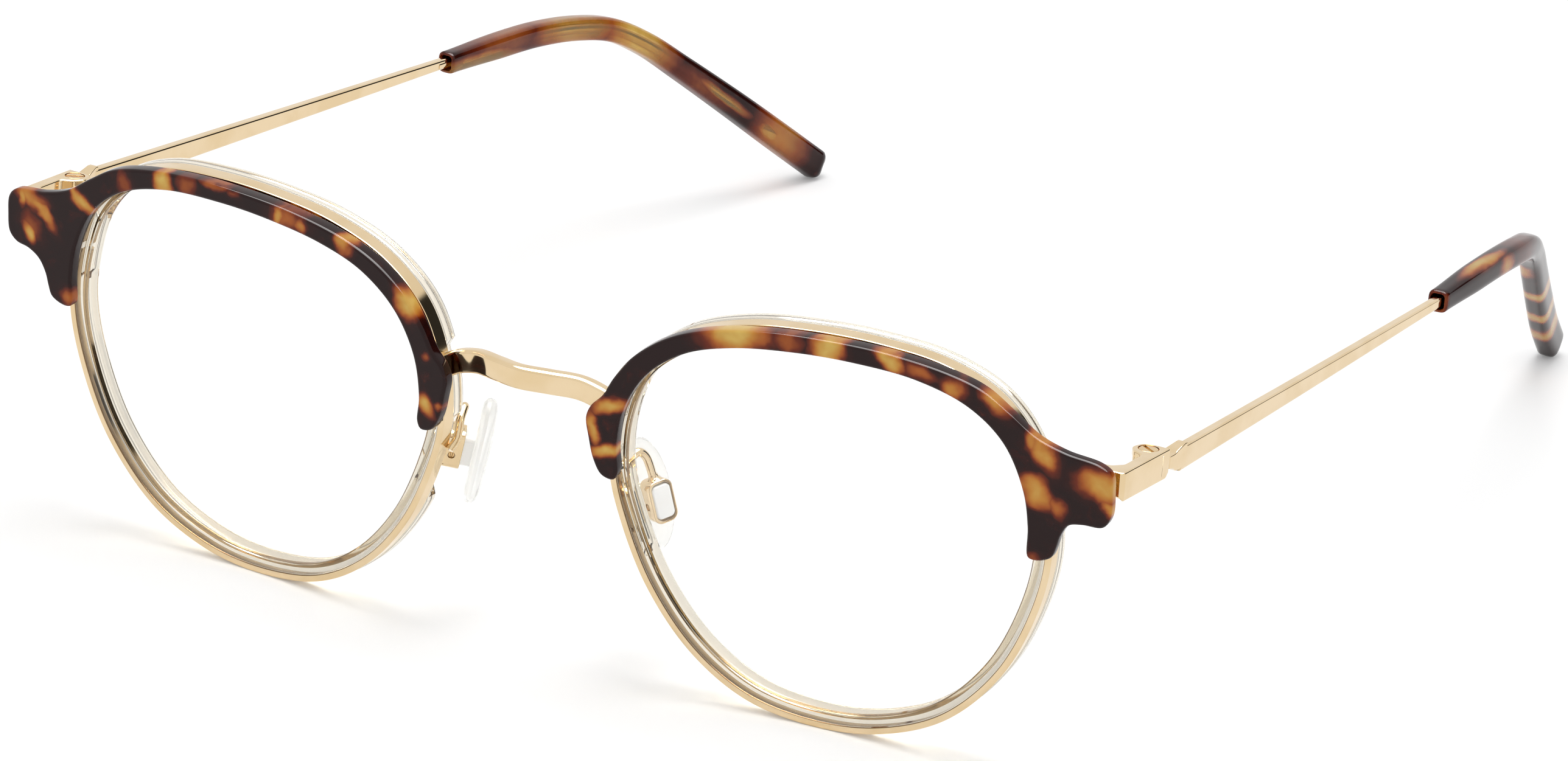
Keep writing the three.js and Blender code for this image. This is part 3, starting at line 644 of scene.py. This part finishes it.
def lens():
    """Domed lens whose edge reaches into the groove."""
    half = LENS_THICKNESS / 2
    bands = np.array([0.06, 0.2, 0.35, 0.5, 0.65, 0.78, 0.89, 0.96, 1.0])
    face_inset = CLEAR_INNER + 0.1
    edge_inset = GROOVE_BOTTOM + 0.1

    def ring(scale, inset, o):
        u, h = ((rim_outline + rim_inward * inset) * scale)[::2].T
        return front_point(u, h, o)

    front = [ring(s, face_inset, LENS_PLANE + half + LENS_BULGE * (1 - s * s)) for s in bands]
    rear = [ring(s, face_inset, LENS_PLANE - half + LENS_BULGE * (1 - s * s)) for s in bands]
    edge = [ring(1, edge_inset, LENS_PLANE + 0.1), ring(1, edge_inset, LENS_PLANE - 0.1)]
    return loft([*front, *edge, *rear[::-1]])


BROW_OUTLINE = [
    [21.6, 2.3], [21.5, 5.6], [20.8, 9.6], [18.4, 14.4], [14.4, 17.55], [8.4, 19.35],
    [0.8, 19.8], [-6.0, 19.5], [-13.0, 18.5], [-18.4, 16.7], [-22.7, 13.4], [-25.3, 8.9],
    [-26.1, 4.2], [-25.9, 1.3], [-26.4, 0.45], [-27.8, 0.75], [-28.8, 2.4], [-29.4, 4.8],
    [-29.75, 7.1], [-29.2, 8.5], [-27.9, 9.9], [-26.6, 12.2], [-24.4, 15.1], [-20.5, 18.05],
    [-15.8, 19.95], [-9.0, 21.25], [-2.0, 21.75], [4.5, 21.75], [11.5, 21.0], [15.8, 19.85],
    [18.9, 18.0], [22.1, 15.9], [25.4, 14.85], [29.3, 14.25], [30.2, 13.3], [30.4, 11.2],
    [30.2, 9.0], [29.2, 8.0], [27.5, 7.6], [26.1, 6.75], [25.2, 5.3], [24.8, 3.9],
    [24.35, 2.75], [23.3, 2.15], [22.1, 2.0],
]


# The rows of the outline that differ on the wearer's left, where the wing is a little larger.
LEFT_WING = {
    34: [30.6, 13.4], 35: [30.85, 11.2], 36: [30.75, 8.6], 37: [29.95, 7.35], 38: [27.6, 7.15],
}


def brow(side):
    """Acetate slab in front of the metal rim, with its back relieved near both ends."""
    corners = BROW_OUTLINE.copy()
    if side > 0:
        for row, corner in LEFT_WING.items():
            corners[row] = corner
    outline = spline(corners, 520, closed=True)
    front = GAP + BROW_THICKNESS

    def back(u, h):
        return GAP + 0.3 + 0.5 * smooth_step(14, 26, u) + 0.3 * smooth_step(-22, -28, u)

    return slab(outline, back, front, front_point, 0.15, 0.36, steps=5)


def brow_places(solid):
    """Outwards, up and forwards of each vertex, which undoes front_point."""
    axes = [front_point(*row) - front_point(0, 0, 0) for row in np.eye(3)]
    return (solid[0] - front_point(0, 0, 0)) @ np.array(axes).T


def bridge():
    """Flat strip from rim to rim, bowed forwards and up."""
    end = front_point(-28.2, 7.6, -RIM_DEPTH / 2)
    half = np.array([
        end, [8.7, FRONT_Y - 1.9, 32.35], [6.4, FRONT_Y - 2.1, 32.9], [3.2, FRONT_Y - 3.2, 33.15],
    ])
    middle = [0, FRONT_Y - 4.0, 33.25]
    points = np.vstack([half, [middle], mirror(half, -1)[::-1]])
    section = rounded_rect(BRIDGE_HEIGHT, BRIDGE_THICKNESS, 0.45, steps=6)
    return sweep(spline(points, 90), Z_AXIS, lambda t: section)


# ---------- hinge ----------
hinge_up = np.array([0, math.sin(TEMPLE_SLOPE), math.cos(TEMPLE_SLOPE)])
hinge_back = np.array([0, math.cos(TEMPLE_SLOPE), -math.sin(TEMPLE_SLOPE)])


def hinge_point(x, b, c):
    """Sideways, backwards along the temple and up the pin, from the middle of the hinge."""
    x, b, c = (np.asarray(v, float)[..., None] for v in np.broadcast_arrays(x, b, c))
    return HINGE + x * X_AXIS + b * hinge_back + c * hinge_up


def hinge_drum(radius, low, high):
    return turned(hinge_point(0, 0, low), hinge_up, [[0, radius], [high - low, radius]], 64)


SCREW_RADIUS = 0.5
HEAD_RADIUS = 1.05
HEAD_DEPTH = 0.4
SLOT_HALF = EYE_HALF + 0.2  # half the gap between the two leaves


def end_piece(side):
    """Plate behind the brow that turns back along the side and carries the hinge leaves."""
    outline = rounded_corners([
        [-6.1, -9.1, 0.3], [OUTER_FACE, -9.15, 0.6], [OUTER_FACE, 1.6, 0.12],
        [0.3, 1.6, 0.4], [-1.25, 1.2, 0.9], [-1.75, -0.4, 0.9], [-0.9, -1.7, 0.9],
        [0.35, -2.3, 0.6], [0.35, -6.3, 0.9], [-0.6, -7.5, 0.8], [-6.1, -7.6, 0.3],
    ], steps=12)
    dense = resample(np.vstack([outline, outline[:1]]), 420, closed=True)

    def bottom(x, b):
        front_corner = 0.5 * smooth_step(-8.5, -9.15, b)
        rear_corner = 0.5 * smooth_step(0.9, 1.6, b) * smooth_step(0.9, 1.5, x)
        return -BARREL_HALF + front_corner + rear_corner

    plate = slab(dense, bottom, BARREL_HALF, hinge_point, 0.16, 0.2, steps=5)
    body = make_mesh("end_piece", [plate], side)
    across = [-4, 0.75, 0.75, -4]
    over = [-SLOT_HALF, -SLOT_HALF, SLOT_HALF, SLOT_HALF]
    exit_block = loft([hinge_point(across, b, over) for b in (-0.4, 3.0)])
    cutters = [
        hinge_drum(BARREL_RADIUS + 0.2, -SLOT_HALF, SLOT_HALF), exit_block,
        hinge_drum(SCREW_RADIUS + 0.1, -3, 3),
        hinge_drum(HEAD_RADIUS + 0.09, BARREL_HALF - HEAD_DEPTH - 0.05, 3),
    ]
    return cut(body, cutters, side)


def slotted_screw(start, end, shank, head, depth, slot_axis):
    """Screw from start to the top of its head, with a driver slot across the head."""
    axis = unit(end - start)
    length = np.linalg.norm(end - start)
    floor = length - depth * 0.45
    body = turned(start, axis, [
        [0, shank * 0.8], [0.08, shank], [length - depth, shank],
        [length - depth, head * 0.93], [length - depth + 0.04, head], [floor, head],
    ])
    along = unit(slot_axis - axis * (slot_axis @ axis))
    across = np.cross(axis, along)
    edge = head * 0.17
    first = math.asin(edge / head)
    angle = np.linspace(first, math.pi - first, 24)
    outline = np.stack([np.cos(angle) * head, np.sin(angle) * head], 1)
    halves = []
    for sign in (1, -1):
        def place(x, y, z, sign=sign):
            x, y, z = (np.asarray(v, float)[..., None] for v in np.broadcast_arrays(x, y, z))
            return start + axis * z + along * x * sign + across * y * sign
        halves.append(slab(outline, floor - 0.02, length, place, 0.01, 0.07, steps=3))
    return [body, *halves]


def hinge_screw():
    return slotted_screw(hinge_point(0, 0, -BARREL_HALF), hinge_point(0, 0, BARREL_HALF - 0.03),
                         SCREW_RADIUS, HEAD_RADIUS, HEAD_DEPTH, np.array([0.8, -0.6, 0]))


# ---------- rim lock ----------
LOCK = np.array([63.2, FRONT_Y + 2.45])
LOCK_WIDTH = 2.6
LOCK_DEPTH = 1.9
LOCK_TOP = 33.9
LOCK_BOTTOM = 31.2
LOCK_SCREW_RADIUS = 0.45
LOCK_HEAD_RADIUS = 0.9


def upright(x, y, z):
    return np.stack(np.broadcast_arrays(x, y, z), -1).astype(float)


def rim_lock(side):
    """Barrel below the end piece and its foot on the metal rim, bored for the lock screw."""
    outline = rounded_rect(LOCK_WIDTH, LOCK_DEPTH, 0.35, steps=5) + LOCK
    block = slab(outline, LOCK_BOTTOM, LOCK_TOP, upright, 0.12, 0.12, steps=3)
    root = front_point(22.9, 7.0, -1.4)
    foot_outline = rounded_corners([
        [root[0], root[1] - 0.7, 0.1], [LOCK[0], root[1] - 0.7, 0.1],
        [LOCK[0], root[1] + 0.7, 0.1], [root[0], root[1] + 0.7, 0.1],
    ])
    foot = slab(foot_outline, LOCK_BOTTOM + 0.1, LOCK_TOP - 1.0, upright, 0.05, 0.05, steps=2)
    body = make_mesh("rim_lock", [block, foot], side)
    bore = turned(np.array([*LOCK, LOCK_BOTTOM - 1]), Z_AXIS,
                  [[0, LOCK_SCREW_RADIUS + 0.1], [5, LOCK_SCREW_RADIUS + 0.1]])
    return cut(body, [bore], side)


def lock_screw():
    return slotted_screw(np.array([*LOCK, 35.5]), np.array([*LOCK, LOCK_BOTTOM - 0.65]),
                         LOCK_SCREW_RADIUS, LOCK_HEAD_RADIUS, HEAD_DEPTH, X_AXIS)


# ---------- temple ----------
ARM_PATH = [[68.65, 15.3, 34.5], [67.2, 50, 32.4], [65.6, SLEEVE_START - GAP, 30.3]]
TIP_PATH = [
    [65.5, SLEEVE_START, 30.2], [64.9, 95.5, 29.8], [64.2, 105, 29.2], [63.2, 113, 28.1],
    [61.9, 119, 26.6], [60.2, 124.5, 23.7], [58.2, 130.6, 19.3], [55.4, 139.3, 12.8],
    [52.9, 147.5, 6.55], [51.05, 154.8, 1.15],
]
CORE_POINTS = 160
CORE_SHARE = 0.87  # how far down the tip the core wire reaches
CORE_WIDTH = 1.1


def temple_curve(points, count):
    return spline([[x, FRONT_Y + y, z] for x, y, z in points], count)


def neck_section(b, x_low, x_high, low, high, corner):
    """Section of the temple neck across the temple, at b behind the hinge axis."""
    outline = rounded_rect(x_high - x_low, high - low, corner, steps=3)
    return hinge_point(outline[:, 0] + (x_low + x_high) / 2, b, outline[:, 1] + (low + high) / 2)


def temple():
    """Hinge eye, neck with its facet, flat arm and the core wire inside the tip."""
    eye = slab(superellipse(2 * BARREL_RADIUS, 2 * BARREL_RADIUS, 72, 2), -EYE_HALF, EYE_HALF,
               hinge_point, 0.08, 0.08, steps=2)
    neck = loft([
        neck_section(0.3, -1.0, 0.6, -EYE_HALF, EYE_HALF, 0.08),
        neck_section(1.66, -0.9, 0.6, -EYE_HALF, EYE_HALF, 0.08),
        neck_section(1.7, -0.9, 1.7, -EYE_HALF, EYE_HALF, 0.08),
        neck_section(1.78, -0.9, OUTER_FACE, -0.72, EYE_HALF, 0.1),
        neck_section(2.8, -0.3, OUTER_FACE, -0.95, 0.66, 0.12),
        neck_section(3.3, 0.2, OUTER_FACE, -1.3, 0.78, 0.13),
        neck_section(3.45, 0.25, OUTER_FACE, -1.36, 0.86, 0.13),
        neck_section(5.0, 0.58, OUTER_FACE, -1.4, 1.25, 0.14),
        neck_section(5.15, 0.6, OUTER_FACE, -1.4, 1.28, 0.14),
        neck_section(5.6, 0.6, OUTER_FACE - 0.005, -1.4, 1.28, 0.14),
    ])
    arm = sweep(temple_curve(ARM_PATH, 60), X_AXIS, lambda t: rounded_rect(
        1.2 - 0.1 * t, 2.7 - 1.5 * t, 0.3, steps=6))
    core_path = temple_curve([[65.6, SLEEVE_START - 2, 30.3], *TIP_PATH], CORE_POINTS)
    core_path = core_path[: int(CORE_POINTS * CORE_SHARE)]
    core = sweep(core_path, X_AXIS, lambda t: superellipse(CORE_WIDTH, CORE_WIDTH, 24, 2.4)
                 * min(1, (1 - t) / 0.05 + 0.02))
    return [eye, neck, arm, core]


def tip_section(t):
    width = 2.4 + 0.4 * smooth_step(0, 0.15, t)
    height = 2.6 + 0.4 * smooth_step(0, 0.15, t) + 0.8 * smooth_step(0.45, 0.9, t)
    return superellipse(width, height, 64, 3.4)


MOUTH_DEPTH = 2.2
MOUTH_ROUNDING = 0.35
TIP_ROUNDING = 1.3


def temple_tip():
    """Acetate tip: a recess at its mouth, a rounded blunt end, places for its pattern."""
    path = temple_curve(TIP_PATH, 150)
    tangents = np.gradient(path, axis=0)
    length = np.linalg.norm(np.diff(path, axis=0), axis=1).sum()
    mouth = superellipse(1.9, 2.0, 64, 2.2)
    rings, places = [], []

    def ring(at, scale=1.0, ahead=0.0, inner=False, inset=0.0):
        """Adds a ring at a point of the path, moved ahead along it and drawn in by inset."""
        tangent = unit(tangents[at])
        across = unit(X_AXIS - tangent * tangent[0])
        over = np.cross(tangent, across)
        share = at / (len(path) - 1)
        section = (mouth if inner else tip_section(share)) * scale
        if inset:
            reach = np.linalg.norm(section, axis=1)[:, None]
            section = section * (1 - inset / reach)
        centre = path[at] + tangent * ahead
        rings.append(centre + section[:, :1] * across + section[:, 1:] * over)
        distance = np.full((len(section), 1), share * length + ahead)
        places.append(np.hstack([distance, section]))

    ring(0, 0.9, inner=True, ahead=MOUTH_DEPTH)
    ring(0, inner=True, ahead=0.25)
    ring(0, inner=True, ahead=0.12)
    for step in range(5):
        angle = step / 4 * math.pi / 2
        ring(0, ahead=MOUTH_ROUNDING * (1 - math.cos(angle)),
             inset=MOUTH_ROUNDING * (1 - math.sin(angle)))
    for at in range(2, len(path) - 2):
        ring(at)
    last = len(path) - 1
    for step in range(1, 7):
        angle = step / 6 * math.pi / 2
        ring(last, ahead=-TIP_ROUNDING * (1 - math.sin(angle)),
             inset=TIP_ROUNDING * (1 - math.cos(angle)))
    return loft(rings), np.vstack(places)


# ---------- nose pads ----------
PAD_CENTRE = np.array([10.35, FRONT_Y + 5.9, 19.1])
pad_down = unit(np.array([0.242, 0.094, -0.966]))
pad_nose = unit(np.array([-0.838, 0.493, -0.162]))
pad_side = unit(np.cross(pad_down, pad_nose))
BOX_N = -3.1  # the box's middle, behind the pad
BOX_DEPTH = 2.2
BOX_LENGTH = 4.8
BOX_WIDTH = 2.9
BOX_WALL = 0.28
PAD_SCREW_DOWN = 0.4
PAD_SCREW_RADIUS = 0.3
PAD_BORE_RADIUS = 0.42


def pad_point(s, d, n):
    """Sideways, down the pad and towards the nose, from the middle of the pad."""
    s, d, n = (np.asarray(v, float)[..., None] for v in np.broadcast_arrays(s, d, n))
    return PAD_CENTRE + s * pad_side + d * pad_down + n * pad_nose


def nose_pad():
    """Soft pad, [n, width, length] of each layer, with the stud that fills the box."""
    layers = [
        [-0.95, 3.4, 9.6], [-0.93, 4.2, 10.6], [-0.8, 5.3, 12.0], [-0.5, 6.1, 12.9],
        [-0.1, 6.4, 13.2], [0.25, 6.2, 13.0], [0.55, 5.6, 12.4], [0.8, 4.5, 11.0],
        [0.93, 3.0, 8.0], [0.97, 1.2, 3.6],
    ]
    body = loft([pad_point(*superellipse(w, l, 72, 2.15).T, n) for n, w, l in layers])
    width = BOX_WIDTH - 2 * (BOX_WALL + 0.05)
    height = BOX_LENGTH - 2 * (BOX_WALL + 0.23)
    outline = rounded_rect(width, height, 0.6, steps=6)
    stud = slab(outline, BOX_N - BOX_DEPTH / 2 - 0.1, -0.5, pad_point, 0.22, 0.05)
    return [body, stud]


def pad_box(side):
    """Open box round the pad's stud, with the bore for its screw."""
    outline = rounded_rect(BOX_WIDTH, BOX_LENGTH, 0.95, steps=8)
    low, high = BOX_N - BOX_DEPTH / 2, BOX_N + BOX_DEPTH / 2
    body = make_mesh("pad_box", [slab(outline, low, high, pad_point, 0.1, 0.1, steps=3)], side)
    inner = rounded_rect(BOX_WIDTH - 2 * BOX_WALL, BOX_LENGTH - 2 * BOX_WALL, 0.7, steps=8)
    hollow = loft([pad_point(*inner.T, n) for n in (low - 1, high + 1)])
    bore = turned(pad_point(-3, PAD_SCREW_DOWN, BOX_N), pad_side,
                  [[0, PAD_BORE_RADIUS], [6, PAD_BORE_RADIUS]])
    return cut(body, [hollow, bore], side)


def pad_screw():
    start = pad_point(BOX_WIDTH / 2 - 0.12, PAD_SCREW_DOWN, BOX_N)
    end = pad_point(-BOX_WIDTH / 2 + 0.08, PAD_SCREW_DOWN, BOX_N)
    return slotted_screw(start, end, PAD_SCREW_RADIUS, PAD_SCREW_RADIUS + 0.06, 0.3, pad_down)


ARM_WIRE = 0.96


def guard_arm():
    """Wire from the rim to the pad box, with a collar where it meets the box."""
    root = front_point(-27.6, -3.0, -1.6)
    box_top = pad_point(0, -BOX_LENGTH / 2 + 0.1, BOX_N)
    points = [
        root, root + [-0.25, 1.0, 1.1], [10.55, FRONT_Y + 1.7, 24.2], [10.9, FRONT_Y + 3.0, 25.0],
        [11.4, FRONT_Y + 3.7, 24.5], box_top,
    ]
    section = superellipse(ARM_WIRE, ARM_WIRE, 28, 2.0)
    wire = sweep(spline(points, 70), X_AXIS, lambda t: section)
    collar = turned(box_top + pad_down * 0.15, -pad_down,
                    [[0, 0.85], [0.25, 0.85], [0.5, 0.6], [0.8, 0.48]], 32)
    return [wire, collar]


# ---------- build both sides ----------
SIDES = (("left", 1), ("right", -1))

for side_name, side in SIDES:
    temple_body, pad_body = f"{side_name}_temple", f"{side_name}_pad"

    def put(name, mesh, material, slot, body="front"):
        return add_piece(f"{name}_{side_name}_look", mesh, material, body, slot,
                         f"{name}_{side_name}")

    def simple(name, solids, material, slot, body="front", sharp=32):
        return put(name, make_mesh(name, solids, side, sharp), material, slot, body)

    rim_piece = simple("metal_rim", [metal_rim()], gold, "gold")
    # Painted shade on the metal rim, and painted reflection lines on the clear rim below.
    store_painted_shade(rim_piece.data, rim_painted_shade)
    clear_piece = simple("inner_rim", [clear_rim()], clear_acetate, "clear_acetate", sharp=20)
    store_painted_shade(clear_piece.data, CLEAR_PAINTED_LINES)
    simple("lens", [lens()], demo_lens, "demo_lens")
    brow_solid = brow(side)
    brow_piece = simple("brow", [brow_solid], BROW_ACETATE[side_name], "tortoise")
    store_places(brow_piece.data, brow_places(brow_solid))
    put("endpiece", end_piece(side), gold, "gold")
    simple("hinge_screw", hinge_screw(), screw_gold, "screw_metal")
    put("rim_lock", rim_lock(side), gold, "gold")
    simple("lock_screw", lock_screw(), screw_gold, "screw_metal")
    simple("temple", temple(), gold, "gold", temple_body)
    tip_solid, tip_places = temple_tip()
    tip_piece = simple("temple_tip", [tip_solid], TIP_ACETATE[side_name], "tortoise", temple_body)
    store_places(tip_piece.data, tip_places)
    pad_solids = nose_pad()
    pad_piece = simple("nose_pad", pad_solids, silicone, "silicone", pad_body)
    milk = np.repeat([0.0, 1.0], [len(vertices) for vertices, _ in pad_solids])
    store_value(pad_piece.data, "milk", milk)
    put("pad_box", pad_box(side), gold, "gold")
    simple("pad_screw", pad_screw(), screw_gold, "screw_metal")
    simple("guard_arm", guard_arm(), gold, "gold")

add_piece("bridge_look", make_mesh("bridge", [bridge()]), gold, "front", "gold", "bridge")

# ---------- studio, in metres ----------
FLOOR_HALF = 6.0
FLOOR_DROP = 0.00002
floor_mesh = bpy.data.meshes.new("floor")
corners = [(x * FLOOR_HALF, y * FLOOR_HALF, -FLOOR_DROP)
           for x, y in ((-1, -1), (1, -1), (1, 1), (-1, 1))]
floor_mesh.from_pydata(corners, [], [(0, 1, 2, 3)])
floor_mesh.materials.append(floor_material())
floor = bpy.data.objects.new("studio_floor", floor_mesh)
bpy.context.scene.collection.objects.link(floor)
floor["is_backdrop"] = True


def area_light(name, place, size, power, target=(0, 0, 0.02)):
    data = bpy.data.lights.new(name, "AREA")
    data.shape = "DISK"
    data.size = size
    data.energy = power
    lamp = bpy.data.objects.new(name, data)
    lamp.location = place
    lamp.rotation_mode = "QUATERNION"
    lamp.rotation_quaternion = (Vector(target) - Vector(place)).to_track_quat("-Z", "Y")
    bpy.context.scene.collection.objects.link(lamp)


area_light("overhead", (0.05, 0.05, 1.6), 0.8, 8.5)

# White room with dark screens that polished edges mirror as dark lines.
# Each screen: azimuth from +Y towards +X, half width, elevation, half height, in degrees.
SCREENS = [[42.0, 20.0, 13.0, 19.0], [27.0, 6.0, 24.0, 8.0]]
SCREEN_BLUR = 2.0
OVERHEAD_LOW = 53.0  # the ceiling above this elevation is a bright panel in mirrors
OVERHEAD_HIGH = 60.0
OVERHEAD_GLOW = 12.0
MIRROR_DARK = 0.97  # how dark the screens are in mirrors
REFRACTED_DARK = 0.5  # and through clear plastic
DIFFUSE_DROP = 0.1  # how much less the room lights matt surfaces
world = bpy.data.worlds.new("studio")
bpy.context.scene.world = world
world.use_nodes = True
tree = world.node_tree
background = tree.nodes["Background"]


def world_math(operation, *values):
    node = tree.nodes.new("ShaderNodeMath")
    node.operation = operation
    for socket, value in zip(node.inputs, values):
        if isinstance(value, bpy.types.NodeSocket):
            tree.links.new(value, socket)
        else:
            socket.default_value = value
    return node.outputs[0]


def angle_step(angle, low, high, top):
    """0 at the low angle, rising smoothly to the top value at the high one, in degrees."""
    step = tree.nodes.new("ShaderNodeMapRange")
    step.interpolation_type = "SMOOTHSTEP"
    tree.links.new(angle, step.inputs[0])
    for socket, value in enumerate((math.radians(low), math.radians(high), 0.0, top), 1):
        step.inputs[socket].default_value = value
    return step.outputs[0]


def window(angle, centre, half):
    """1 where an angle in radians is within half degrees of the centre, else 0."""
    off = world_math("ABSOLUTE", world_math("SUBTRACT", angle, math.radians(centre)))
    return angle_step(off, half + SCREEN_BLUR, half - SCREEN_BLUR, 1.0)


coord = tree.nodes.new("ShaderNodeTexCoord")
split = tree.nodes.new("ShaderNodeSeparateXYZ")
tree.links.new(coord.outputs["Generated"], split.inputs[0])
azimuth = world_math("ARCTAN2", split.outputs["X"], split.outputs["Y"])
elevation = world_math("ARCSINE", split.outputs["Z"])
screen = world_math("MAXIMUM", *(
    world_math("MULTIPLY", window(azimuth, across, half_width), window(elevation, up, half_height))
    for across, half_width, up, half_height in SCREENS))
rays = tree.nodes.new("ShaderNodeLightPath")
mirrored = world_math("MULTIPLY", rays.outputs["Is Glossy Ray"], MIRROR_DARK)
through = world_math("MULTIPLY", rays.outputs["Is Transmission Ray"], REFRACTED_DARK)
dark = world_math("MULTIPLY", screen, world_math("MAXIMUM", mirrored, through))
drop = world_math("MULTIPLY", rays.outputs["Is Diffuse Ray"], DIFFUSE_DROP)
ceiling = angle_step(elevation, OVERHEAD_LOW, OVERHEAD_HIGH, OVERHEAD_GLOW)
glow = world_math("MULTIPLY", ceiling, rays.outputs["Is Glossy Ray"])
room = world_math("SUBTRACT", 1.0, world_math("MAXIMUM", dark, drop))
tree.links.new(world_math("ADD", room, glow), background.inputs["Strength"])
background.inputs["Color"].default_value = (1, 1, 1, 1)

# ---------- camera ----------
CAMERA_PLACE = Vector((0.4088, -0.77495, 0.34279))
CAMERA_AZIMUTH = math.radians(28.45)
CAMERA_ELEVATION = math.radians(20.92)
CAMERA_ROLL = math.radians(3.4)
CAMERA_LENS = 186.26087  # in millimetres, as the sensor's width is
CAMERA_SENSOR = 36.0

camera_data = bpy.data.cameras.new("camera")
camera = bpy.data.objects.new("camera", camera_data)
bpy.context.scene.collection.objects.link(camera)
camera_data.sensor_width = CAMERA_SENSOR
camera_data.lens = CAMERA_LENS
camera_data.clip_start = 0.01
camera_data.clip_end = 50
right = Vector((math.cos(CAMERA_AZIMUTH), math.sin(CAMERA_AZIMUTH), 0))
towards = Vector((
    math.sin(CAMERA_AZIMUTH) * math.cos(CAMERA_ELEVATION),
    -math.cos(CAMERA_AZIMUTH) * math.cos(CAMERA_ELEVATION),
    math.sin(CAMERA_ELEVATION),
))
up = towards.cross(right)
camera_x = right * math.cos(CAMERA_ROLL) + up * math.sin(CAMERA_ROLL)
camera_y = up * math.cos(CAMERA_ROLL) - right * math.sin(CAMERA_ROLL)
turn = Matrix((camera_x, camera_y, towards)).transposed()
camera.matrix_world = Matrix.Translation(CAMERA_PLACE) @ turn.to_4x4()
bpy.context.scene.camera = camera

scene = bpy.context.scene
scene.cycles.max_bounces = 40
scene.cycles.glossy_bounces = 32
scene.cycles.transmission_bounces = 32
scene.view_settings.view_transform = "Standard"
scene.view_settings.look = "None"

boxes = {"cad": cad_box, "visual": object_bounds()}
{name: [list(corner) for corner in box] for name, box in boxes.items()}
